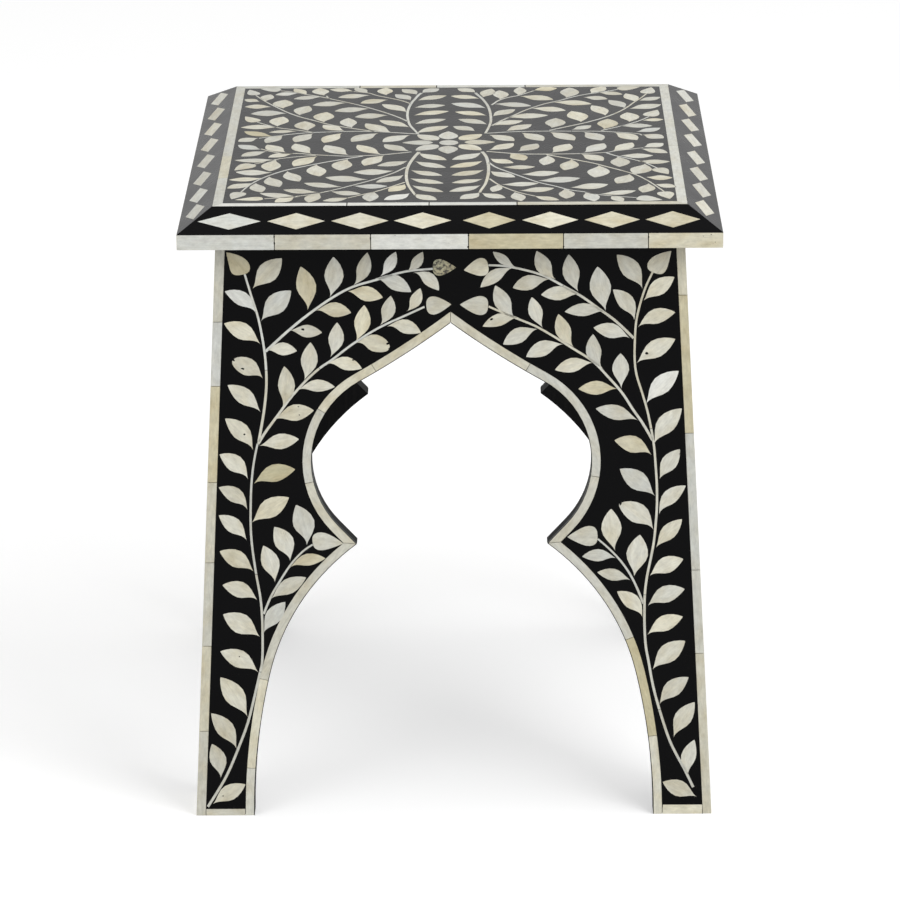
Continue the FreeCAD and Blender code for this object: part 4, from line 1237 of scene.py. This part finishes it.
TOP_BUDS = drawn(
    (-131.2, -147.8, -150.7, -151, 9.3), (-143.2, -57.7, -155, -74.3, 12.7),
    (-147.7, -131.5, -153.2, -149.3, 11.3), (131.8, -149.8, 149, -156.5, 13.3),
    (148.5, -73.7, 156, -89.8, 11.7), (151, -135.3, 154.3, -153.7, 12), (-131.7, 152.3, -147, 157.3, 11),
    (-145.6, 59.3, -154.7, 75.5, 10.7), (-150.2, 138.5, -155.3, 154.7, 9.7), (127.2, 151, 144.3, 157.3, 11.3),
    (147.7, 70.2, 155.2, 88.5, 12), (148.5, 137.3, 153, 156, 11.3),
    **BUD,
)
FLOWER = drawn(
    (-0.4, 9.4, -0.4, 31.4, 14.4), (-0.4, -9, -0.4, -30, 14.4), (-11.5, 0.6, -34, 0.6, 12),
    (11.5, 1, 34, 1, 12.6), (-8, 7.6, -23.2, 22.8, 13.6), (8, 8, 24.4, 23.2, 13.6), (-8, -6, -24, -21, 13.3),
    (8, -6, 24, -21, 13.3),
    **PETAL,
)


# Sub-assemblies


def face_matrix(slope: float, front: float, height: float) -> Matrix:
    """Place a face whose rows run level along the stool's front.

    Args:
        slope: its slope from level, in degrees.
        front: how far its lower edge lies before the stool's middle, in millimetres.
        height: height of that edge.

    Returns:
        The way from millimetres on the face to metres in the stool's frame.
    """
    stand = Matrix.Translation((0.0, -front, height)) @ Matrix.Rotation(math.radians(slope), 4, "X")
    return Matrix.Scale(MM, 4) @ stand


def stretches(low: float, high: float, seams: Sequence[float], gap: float) -> list[Pair]:
    """Divide a strip at its seams.

    Args:
        low: where the strip starts.
        high: where it ends.
        seams: places of its seams.
        gap: width of a seam.

    Returns:
        Start and end of each length.
    """
    marks = [low - gap / 2, *sorted(seams), high + gap / 2]
    return [(start + gap / 2, end - gap / 2) for start, end in zip(marks, marks[1:])]


def dress_node(name: str, material: bpy.types.Material) -> None:
    """Give a CAD node its finish.

    Args:
        name: the node.
        material: its finish.
    """
    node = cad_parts[name]
    node.data.materials.clear()
    node.data.materials.append(material)
    log.info("%s keeps its CAD shape in %s", name, material.name)


@dataclass
class Panel:
    """One leaning side panel with its vine, its strips and its arch band.

    Args:
        side: which side it stands on.
        finishes: the stool's finishes.
        mirrored: whether its vine is drawn the other way round.
        strip_tones: tones of the left and the right upright strip's lengths from the floor up; those past
            the end are left to chance.
        strip_seams: heights of the seams in the left and the right strip.
        strip_widths: width of the left and the right strip.
        foot_strip_heights: height of the left and the right strip at the floor.
        line_reach: distance from the panel's edge to the far side of the resin line beside a strip.
        line_gap: space between that line and the strip's bone.
        lean: its lean from upright, in degrees.
        half_foot: half the frame's width at the floor.
        foot_inside: half the width of the opening at the floor.
        head: height of its head above the floor.
        low_overrun: how far pieces are drawn past the floor before they are sawn.
        overrun: how far they are drawn past the head and the mitres.
        slip: thickness of the bone slips.
        gap: width of the glue seams.
        proud: how far inlaid pieces stand out of the resin.
        pit_proud: how far the filled pits stand out of it.
        vine_depth: depth of the vine's undersides.
        pit_depth: depth of the pits.
        pit_share: where on a leaf a pit lies that is left to chance, as a share of the leaf's length.
        chance_pits: number of such pits.
        chance_pit_sizes: their least and their largest length.
        chance_pit_width: their width as a share of that.
        strip_round: width of the rounding of the strips' edges.
        band_round: the same for the arch band.
    """

    side: Side
    finishes: Finishes
    mirrored: bool = False
    strip_tones: tuple[tuple[float, ...], ...] = ((), ())
    strip_seams: tuple[tuple[float, ...], ...] = (
        (65.0, 130.0, 193.0, 253.0, 324.0, 371.0), (123.0, 186.0, 288.0, 389.0),
    )
    strip_widths: Pair = (6.8, 6.3)
    foot_strip_heights: Pair = (5.0, 7.1)
    line_reach: float = 7.05
    line_gap: float = 0.05
    lean: float = 3.0617
    half_foot: float = 187.5
    foot_inside: float = 145.0
    head: float = 430.0
    low_overrun: float = 1.0
    overrun: float = 2.0
    slip: float = 2.0
    gap: float = 0.38
    proud: float = 0.06
    pit_proud: float = 0.08
    vine_depth: float = 1.6
    pit_depth: float = 0.4
    pit_share: float = 0.6
    chance_pits: int = 9
    chance_pit_sizes: Pair = (0.8, 2.4)
    chance_pit_width: float = 0.7
    strip_round: float = 0.18
    band_round: float = 0.15
    arch: ArchBand = field(default_factory=ArchBand)

    def start(self, name: str, turned: bool = False) -> BoneWork:
        """Start a piece on this panel's face.

        Args:
            name: its name without the side's.
            turned: whether it is drawn the other way round.

        Returns:
            The empty piece.
        """
        face = face_matrix(90.0 - self.lean, self.half_foot, 0.0)
        if turned:
            face = face @ Matrix.Scale(-1.0, 4, (1.0, 0.0, 0.0))
        return BoneWork(name, face, self.side)

    def build_vine(self) -> None:
        """Cut and lay the panel's stems, leaves and buds."""
        work = self.start("panel_inlay", self.mirrored)
        for stem in PANEL_STEMS:
            work.lay_stem(stem)
        for leaf in (*PANEL_LEAVES, *PANEL_BUDS):
            work.cut_leaf(leaf)
        work.thicken(self.vine_depth, self.proud)
        work.finish(self.finishes.bone, "bone")

    def build_pits(self) -> None:
        """Fill the pits in the bone: where the photograph shows them on the front, scattered elsewhere."""
        work = self.start("panel_pits", self.mirrored)
        pits = FRONT_PITS
        if self.side is not Side.FRONT:
            leaves = work.chance.sample(PANEL_LEAVES, self.chance_pits)
            places = [tuple(leaf.middle(self.pit_share)[0]) for leaf in leaves]
            sizes = [work.chance.uniform(*self.chance_pit_sizes) for _ in leaves]
            pits = [Pit(place, (size, self.chance_pit_width * size)) for place, size in zip(places, sizes)]
        for pit in pits:
            work.cut_pit(pit)
        work.thicken(self.pit_depth, self.pit_proud)
        work.finish(self.finishes.resin, "black_resin")

    def build_edge_strips(self) -> None:
        """Lay the bone strips along the panel's two upright edges, and the resin line inside each."""
        bone = self.start("edge_strip_bone")
        resin = self.start("edge_line_resin")
        low, high = -self.low_overrun, self.head + self.overrun
        for hand, seams, tones, width in zip((-1, 1), self.strip_seams, self.strip_tones, self.strip_widths):
            slant = -hand * math.sin(math.radians(self.lean))
            inner = self.half_foot - width
            left, right = sorted((hand * inner, hand * (self.half_foot + self.overrun)))
            for (start, end), tone in zip_longest(stretches(low, high, seams, self.gap), tones):
                bone.add_bar((left, start, -self.slip), (right, end, 0.0), slant, tone)
            left, right = sorted((hand * (inner - self.line_gap), hand * (self.half_foot - self.line_reach)))
            resin.add_bar((left, low, -self.slip), (right, high, 0.0), slant)
        bone.cut_mitres()
        for work in (bone, resin):
            work.cut_level(0.0, upwards=False)
            work.cut_level(self.head, upwards=True)
        bone.soften(self.strip_round)
        bone.finish(self.finishes.bone, "bone", f"edge_strips_{self.side.tag}")
        resin.finish(self.finishes.resin, "black_resin")

    def build_foot_strips(self) -> None:
        """Lay the short bone strips across the panel's two feet."""
        work = self.start("foot_strip_bone")
        inner = self.foot_inside + self.arch.width + self.gap
        for hand, height, width in zip((-1, 1), self.foot_strip_heights, self.strip_widths):
            left, right = sorted((hand * inner, hand * (self.half_foot - width - self.gap)))
            work.add_bar((left, -self.low_overrun, -self.slip), (right, height, self.proud))
        work.cut_level(0.0, upwards=False)
        work.soften(self.strip_round)
        work.finish(self.finishes.bone, "bone", f"foot_strips_{self.side.tag}")

    def build_arch_band(self) -> None:
        """Lay the bone band along the arch, and the resin line between it and the cut edge."""
        bone = self.start("arch_band_bone")
        resin = self.start("arch_rim_resin")
        self.arch.lay(bone, self.arch.rim, self.arch.width, seamed=True)
        self.arch.lay(resin, 0.0, self.arch.rim, seamed=False)
        for work in (bone, resin):
            work.cut_level(0.0, upwards=False)
        bone.soften(self.band_round)
        bone.finish(self.finishes.bone, "bone", f"arch_band_{self.side.tag}")
        resin.finish(self.finishes.resin, "black_resin")

    def build(self) -> None:
        """Build every piece of the panel and finish its CAD nodes."""
        self.build_vine()
        self.build_pits()
        self.build_edge_strips()
        self.build_foot_strips()
        self.build_arch_band()
        dress_node(f"panel_core_{self.side.tag}", self.finishes.wood)
        dress_node(f"panel_facing_{self.side.tag}", self.finishes.resin)


@dataclass
class Top:
    """The square top: inlaid field, bone border, bevelled edges with lozenges and the bone rim.

    Args:
        finishes: the stool's finishes.
        half: half the top's width.
        underside: height of its underside.
        rim_height: height of the bone rim.
        height: height of the stool.
        bevel_run: level depth of the bevel.
        border_width: width of the bone border.
        slip: thickness of the bone slips.
        proud: how far inlaid pieces stand out of the resin.
        overrun: how far pieces are drawn past the mitres before they are sawn.
        tuck: how far the field's resin reaches under the border.
        inlay_depth: depth of the field's inlay.
        lozenge_depth: depth of the lozenges.
        pit_depth: depth of the rim's pits.
        rim_round: width of the rounding of the rim's edges.
        border_round: the same for the border.
        bevel_round: the same for the bevels.
        rim_seams: places of the seams in the rim, seen on the front.
        front_rim_tones: tones of the front rim's lengths, from the left.
        front_lozenge_tones: tones of the front lozenges, from the left.
        border_seams: places of the seams in the border of each side.
        border_tones: tones of the border's lengths of each side.
        rim_pits: chips beside the front rim's seams, filled with resin.
        lozenges: place and length of each lozenge of the front and the back.
        right_lozenges: the same for the right side, whose row is given on its own.
        left_lozenges: the same for the left side.
        rim_sunk: how far the rim's bone lies behind its face.
        rim_gap: width of the rim's seams.
        border_gap: width of the border's seams.
        lozenge_width: the lozenges' width up the bevel.
        lozenge_rise: distance of their centres from the bevel's lower edge.
        leaf_shift: how far the field's leaves and buds sit off the drawing of their stems.
        leaf_swell: how these leaves grow from their stalks, which are stouter than the panels'.
        flower_place: middle of the flower.
        boss_radius: radius of the disc in the middle of the flower.
        boss_tone: tone of its bone.
    """

    finishes: Finishes
    half: float = 190.0
    underside: float = 430.0
    rim_height: float = 11.0
    height: float = 455.0
    bevel_run: float = 24.0
    border_width: float = 7.0
    slip: float = 2.0
    proud: float = 0.06
    overrun: float = 2.0
    tuck: float = 0.05
    inlay_depth: float = 1.6
    lozenge_depth: float = 1.2
    pit_depth: float = 0.5
    rim_round: float = 0.22
    border_round: float = 0.18
    bevel_round: float = 0.2
    rim_seams: tuple[float, ...] = (-122.0, -55.0, 13.0, 79.0, 138.0)
    front_rim_tones: tuple[float, ...] = (0.104, 0.4, 0.05, 0.82, 0.287, 0.628)
    front_lozenge_tones: tuple[float, ...] = (0.14, 0.525, 0.522, 0.56, 0.795, 0.555, 0.68, 0.693)
    border_seams: tuple[tuple[float, ...], ...] = (
        (-72.0, -14.5, 47.0), (-13.0, 48.0), (-56.0, 12.0, 71.0), (-23.0, 35.0, 93.0),
    )
    border_tones: tuple[tuple[float, ...], ...] = (
        (0.03, 0.03, 0.045, 0.5), (0.235, 0.26, 0.22), (0.3, 0.14, 0.5, 0.2), (0.3, 0.29, 0.6, 0.28),
    )
    rim_pits: tuple[Pit, ...] = (
        Pit((-122.0, 9.6), (1.2, 1.6)), Pit((-121.9, 4.8), (0.9, 2.4)), Pit((-55.1, 8.1), (1.0, 1.7)),
        Pit((13.1, 9.7), (1.3, 1.0)), Pit((12.8, 1.6), (1.5, 1.7)), Pit((79.1, 1.5), (1.2, 1.3)),
        Pit((138.0, 8.2), (1.1, 1.6)), Pit((-38.0, 10.2), (0.7, 0.5)), Pit((181.5, 9.6), (1.0, 0.6)),
        Pit((176.0, 8.6), (0.7, 0.5)), Pit((184.4, 4.2), (0.6, 0.6)),
    )
    lozenges: tuple[Pair, ...] = (
        (-153.7, 44.0), (-107.0, 40.0), (-62.6, 40.0), (-18.9, 40.0),
        (27.4, 36.5), (69.9, 39.0), (113.1, 38.5), (155.3, 38.0),
    )
    right_lozenges: tuple[Pair, ...] = (
        (-150.7, 40.0), (-105.0, 39.0), (-62.6, 38.0), (-18.9, 38.0),
        (29.4, 37.0), (72.4, 37.0), (115.5, 38.0), (158.3, 37.0),
    )
    left_lozenges: tuple[Pair, ...] = (
        (-156.0, 38.0), (-111.5, 38.0), (-67.5, 38.0), (-23.0, 38.0),
        (22.0, 38.0), (68.5, 38.0), (112.5, 38.0), (154.0, 38.0),
    )
    rim_sunk: float = 0.03
    rim_gap: float = 0.55
    border_gap: float = 0.7
    lozenge_width: float = 15.6
    lozenge_rise: float = 12.9
    leaf_shift: Pair = (-0.2, 0.6)
    leaf_swell: float = 1.15
    flower_place: Pair = (-1.7, -1.3)
    boss_radius: float = 7.0
    boss_tone: float = 0.3

    @property
    def field_half(self) -> float:
        """Half the width of the flat top with its border."""
        return self.half - self.bevel_run

    @property
    def flat_face(self) -> Matrix:
        """Place of the flat top, drawn from its middle."""
        return face_matrix(0.0, 0.0, self.height)

    def build_rim(self, side: Side) -> None:
        """Lay the upright bone rim of one side, with its pits.

        Args:
            side: the side.
        """
        face = face_matrix(90.0, self.half, self.underside)
        work = BoneWork("rim_bone", face, side)
        reach = self.half + self.overrun
        tones = self.front_rim_tones if side is Side.FRONT else ()
        for (low, high), tone in zip_longest(stretches(-reach, reach, self.rim_seams, self.rim_gap), tones):
            work.add_bar((low, 0.0, -self.slip), (high, self.rim_height, -self.rim_sunk), tone=tone)
        work.cut_mitres()
        work.soften(self.rim_round)
        work.finish(self.finishes.bone, "bone", f"rim_band_{side.tag}")
        pits = BoneWork("rim_pits", face, side)
        for pit in self.rim_pits:
            pits.cut_pit(pit)
        pits.thicken(self.pit_depth, 0.0)
        pits.finish(self.finishes.resin, "black_resin")

    def build_border(self, side: Side) -> None:
        """Lay the bone border of one side of the field.

        Args:
            side: the side.
        """
        work = BoneWork("border_bone", self.flat_face, side)
        outer = self.field_half
        reach = outer + self.overrun
        order = list(Side).index(side)
        ends = stretches(-reach, reach, self.border_seams[order], self.border_gap)
        for (low, high), tone in zip(ends, self.border_tones[order]):
            work.add_bar((low, -outer, -self.slip), (high, self.border_width - outer, 0.0), tone=tone)
        work.cut_mitres()
        work.soften(self.border_round)
        work.finish(self.finishes.bone, "bone", f"top_border_{side.tag}")

    def build_bevel(self, side: Side) -> None:
        """Lay the resin of one bevelled edge and its row of lozenges.

        Args:
            side: the side.
        """
        foot = self.underside + self.rim_height
        rise = self.height - foot
        face = face_matrix(math.degrees(math.atan2(rise, self.bevel_run)), self.half, foot)
        reach = self.half + self.overrun
        resin = BoneWork("bevel_resin", face, side)
        resin.add_bar((-reach, 0.0, -self.slip), (reach, math.hypot(self.bevel_run, rise), 0.0))
        resin.cut_mitres()
        resin.soften(self.bevel_round)
        resin.finish(self.finishes.resin, "black_resin", f"bevel_facing_{side.tag}")
        bone = BoneWork("lozenge_bone", face, side)
        tones = self.front_lozenge_tones if side is Side.FRONT else ()
        rows = {Side.LEFT: self.left_lozenges, Side.RIGHT: self.right_lozenges}
        for (place, length), tone in zip_longest(rows.get(side, self.lozenges), tones):
            bone.cut_lozenge((place, self.lozenge_rise), (length, self.lozenge_width), tone)
        bone.thicken(self.lozenge_depth, self.proud)
        bone.finish(self.finishes.bone, "bone", f"bevel_lozenges_{side.tag}")

    def build_vines(self) -> None:
        """Pour the field's resin, and cut and lay its flower, stems, leaves and buds flush with the top."""
        resin = BoneWork("top_resin", self.flat_face)
        reach = self.field_half - self.border_width + self.tuck
        resin.add_bar((-reach, -reach, -self.slip), (reach, reach, -self.proud))
        resin.finish(self.finishes.resin, "black_resin", "top_field")
        work = BoneWork("top_inlay", self.flat_face)
        for stem in TOP_STEMS:
            work.lay_stem(stem)
        for leaf in TOP_LEAVES:
            work.cut_leaf(replace(leaf.moved(self.leaf_shift), swell=self.leaf_swell))
        for leaf in TOP_BUDS:
            work.cut_leaf(leaf.moved(self.leaf_shift))
        for leaf in FLOWER:
            work.cut_leaf(leaf.moved(self.flower_place))
        place = Matrix.Translation((*self.flower_place, 0.0)) @ Matrix.Scale(self.boss_radius, 4)
        work.mark(work.cut_disc(work.round_corners, place), Vector((1.0, 0.0)), self.boss_tone)
        work.thicken(self.inlay_depth, 0.0)
        work.finish(self.finishes.bone, "bone")

    def build(self) -> None:
        """Build every piece of the top and finish its CAD nodes."""
        for side in Side:
            self.build_rim(side)
            self.build_border(side)
            self.build_bevel(side)
        self.build_vines()
        dress_node("top_board", self.finishes.wood)


@dataclass
class Underframe:
    """The hidden joinery: cleats and corner blocks with their screws."""

    finishes: Finishes

    def build(self) -> None:
        """Finish the joinery's CAD nodes."""
        for side in Side:
            dress_node(f"top_cleat_{side.tag}", self.finishes.wood)
        for corner in ("front_left", "front_right", "back_left", "back_right"):
            dress_node(f"corner_block_{corner}", self.finishes.wood)
        dress_node("cleat_screws", self.finishes.steel)


# Studio


@dataclass(frozen=True)
class Lamp:
    """One soft square lamp: its name, its place and size in metres and its power in watts."""

    name: str
    place: tuple[float, float, float]
    size: float
    power: float


@dataclass
class Studio:
    """A pale floor, a plain white room light, soft lamps and the camera.

    Args:
        camera_place: the camera's place in metres.
        yaw: turn of its view from the stool's depth, in radians.
        pitch: its downward tilt.
        roll: its turn about the view.
        lens: focal length in millimetres.
        sensor: width of the sensor.
        room_light: strength of the room's light.
        floor_colour: colour of the floor's paint.
        floor_glow: how strongly it shines to the camera and in gloss, so that it shows white.
        floor_size: side of the floor in metres.
        floor_drop: how far the floor lies under the feet, so that the two faces don't fall in one.
        lamps: the lamps.
        aim: what they face.
    """

    camera_place: tuple[float, float, float] = (0.022717, -3.10302, 1.30274)
    yaw: float = -0.0081
    pitch: float = 0.337
    roll: float = -0.0072
    lens: float = 174.84
    sensor: float = 36.0
    room_light: float = 0.6
    floor_colour: str = "#E9E9E9"
    floor_glow: float = 0.4
    floor_size: float = 14.0
    floor_drop: float = 0.0002
    lamps: tuple[Lamp, ...] = (
        Lamp("softbox_right", (2.2, -2.4, 2.4), 1.8, 48.0),
        Lamp("softbox_left", (-2.4, -2.0, 1.8), 1.8, 20.0),
        Lamp("softbox_above", (1.4, -0.3, 2.5), 1.4, 13.5),
    )
    aim: tuple[float, float, float] = (0.0, 0.0, 0.3)

    def build_camera(self) -> None:
        """Set up the camera at the photograph's view."""
        data = bpy.data.cameras.new("photo_camera")
        data.lens = self.lens
        data.sensor_width = self.sensor
        camera = add_object("photo_camera", data)
        turns = ((-self.yaw, "Z"), (math.pi / 2 - self.pitch, "X"), (self.roll, "Z"))
        place = Matrix.Translation(self.camera_place)
        for angle, axis in turns:
            place = place @ Matrix.Rotation(angle, 4, axis)
        camera.matrix_world = place
        bpy.context.scene.camera = camera

    def build_floor(self) -> None:
        """Lay the floor: pale, white to the camera and in gloss, with the stool's shadow kept.

        A camera below it sees through it, so that the stool's underside shows.
        """
        material, tree = new_material("studio_floor_paint")
        paint = add_node(tree, "BsdfDiffuse", {"Color": linear(self.floor_colour)})
        seen = self.seen_ray(tree, self.floor_glow)
        glow = add_node(tree, "Emission", {"Color": linear("#FFFFFF"), "Strength": seen})
        camera_ray = add_node(tree, "LightPath").outputs["Is Camera Ray"]
        underside = add_node(tree, "NewGeometry").outputs["Backfacing"]
        below = add_node(tree, "Math", (camera_ray, underside), operation="MULTIPLY")
        clear = add_node(tree, "BsdfTransparent")
        shown = add_node(tree, "MixShader", (below, add_node(tree, "AddShader", (paint, glow)), clear))
        add_node(tree, "OutputMaterial", (shown,))
        mesh = bmesh.new()
        place = Matrix.Translation((0.0, 0.0, -self.floor_drop))
        bmesh.ops.create_grid(mesh, x_segments=1, y_segments=1, size=self.floor_size / 2, matrix=place)
        add_mesh("studio_floor", mesh, material)

    def seen_ray(self, tree: bpy.types.NodeTree, share: float) -> bpy.types.Node:
        """Find whether a ray comes from the camera, gloss or glass.

        Args:
            tree: node tree that gets the nodes.
            share: value for such a ray.

        Returns:
            The node with that value, or zero for other rays.
        """
        rays = add_node(tree, "LightPath").outputs
        first = add_node(tree, "Math", (rays["Is Camera Ray"], rays["Is Glossy Ray"]), operation="MAXIMUM")
        both = add_node(tree, "Math", (first, rays["Is Transmission Ray"]), operation="MAXIMUM")
        return add_node(tree, "Math", (both, share), operation="MULTIPLY")

    def build_room(self) -> None:
        """Light the room evenly, and show it white to the camera and in gloss."""
        world = bpy.data.worlds.new("studio_room")
        bpy.context.scene.world = world
        world.use_nodes = True
        tree = world.node_tree
        tree.nodes.clear()
        inputs = {"Value": self.seen_ray(tree, 1.0), "To Min": self.room_light, "To Max": 1.0}
        strength = add_node(tree, "MapRange", inputs)
        room = add_node(tree, "Background", {"Color": linear("#FFFFFF"), "Strength": strength})
        add_node(tree, "OutputWorld", (room,))

    def build_lamp(self, lamp: Lamp) -> None:
        """Hang one soft lamp that faces the stool.

        Args:
            lamp: the lamp.
        """
        data = bpy.data.lights.new(lamp.name, "AREA")
        data.shape = "SQUARE"
        data.size = lamp.size
        data.energy = lamp.power
        turn = (Vector(self.aim) - Vector(lamp.place)).to_track_quat("-Z", "Y").to_matrix().to_4x4()
        add_object(lamp.name, data).matrix_world = Matrix.Translation(lamp.place) @ turn

    def build(self) -> None:
        """Build the whole studio."""
        bpy.context.scene.view_settings.view_transform = "Standard"
        self.build_floor()
        self.build_room()
        for lamp in self.lamps:
            self.build_lamp(lamp)
        self.build_camera()


def main() -> None:
    """Build the stool's pieces, the studio and the camera."""
    logging.basicConfig(level=logging.INFO, format="%(name)s: %(message)s")
    finishes = Finishes.build()
    front_tones = ((0.395, 0.61, 0.39, 0.5, 0.79, 0.08, 0.39), (0.5, 0.28, 0.19, 0.81, 0.6))
    Panel(Side.FRONT, finishes, strip_tones=front_tones).build()
    Panel(Side.RIGHT, finishes, mirrored=True).build()
    Panel(Side.BACK, finishes).build()
    Panel(Side.LEFT, finishes, mirrored=True).build()
    Top(finishes).build()
    Underframe(finishes).build()
    Studio().build()


if __name__ == "__main__":
    main()
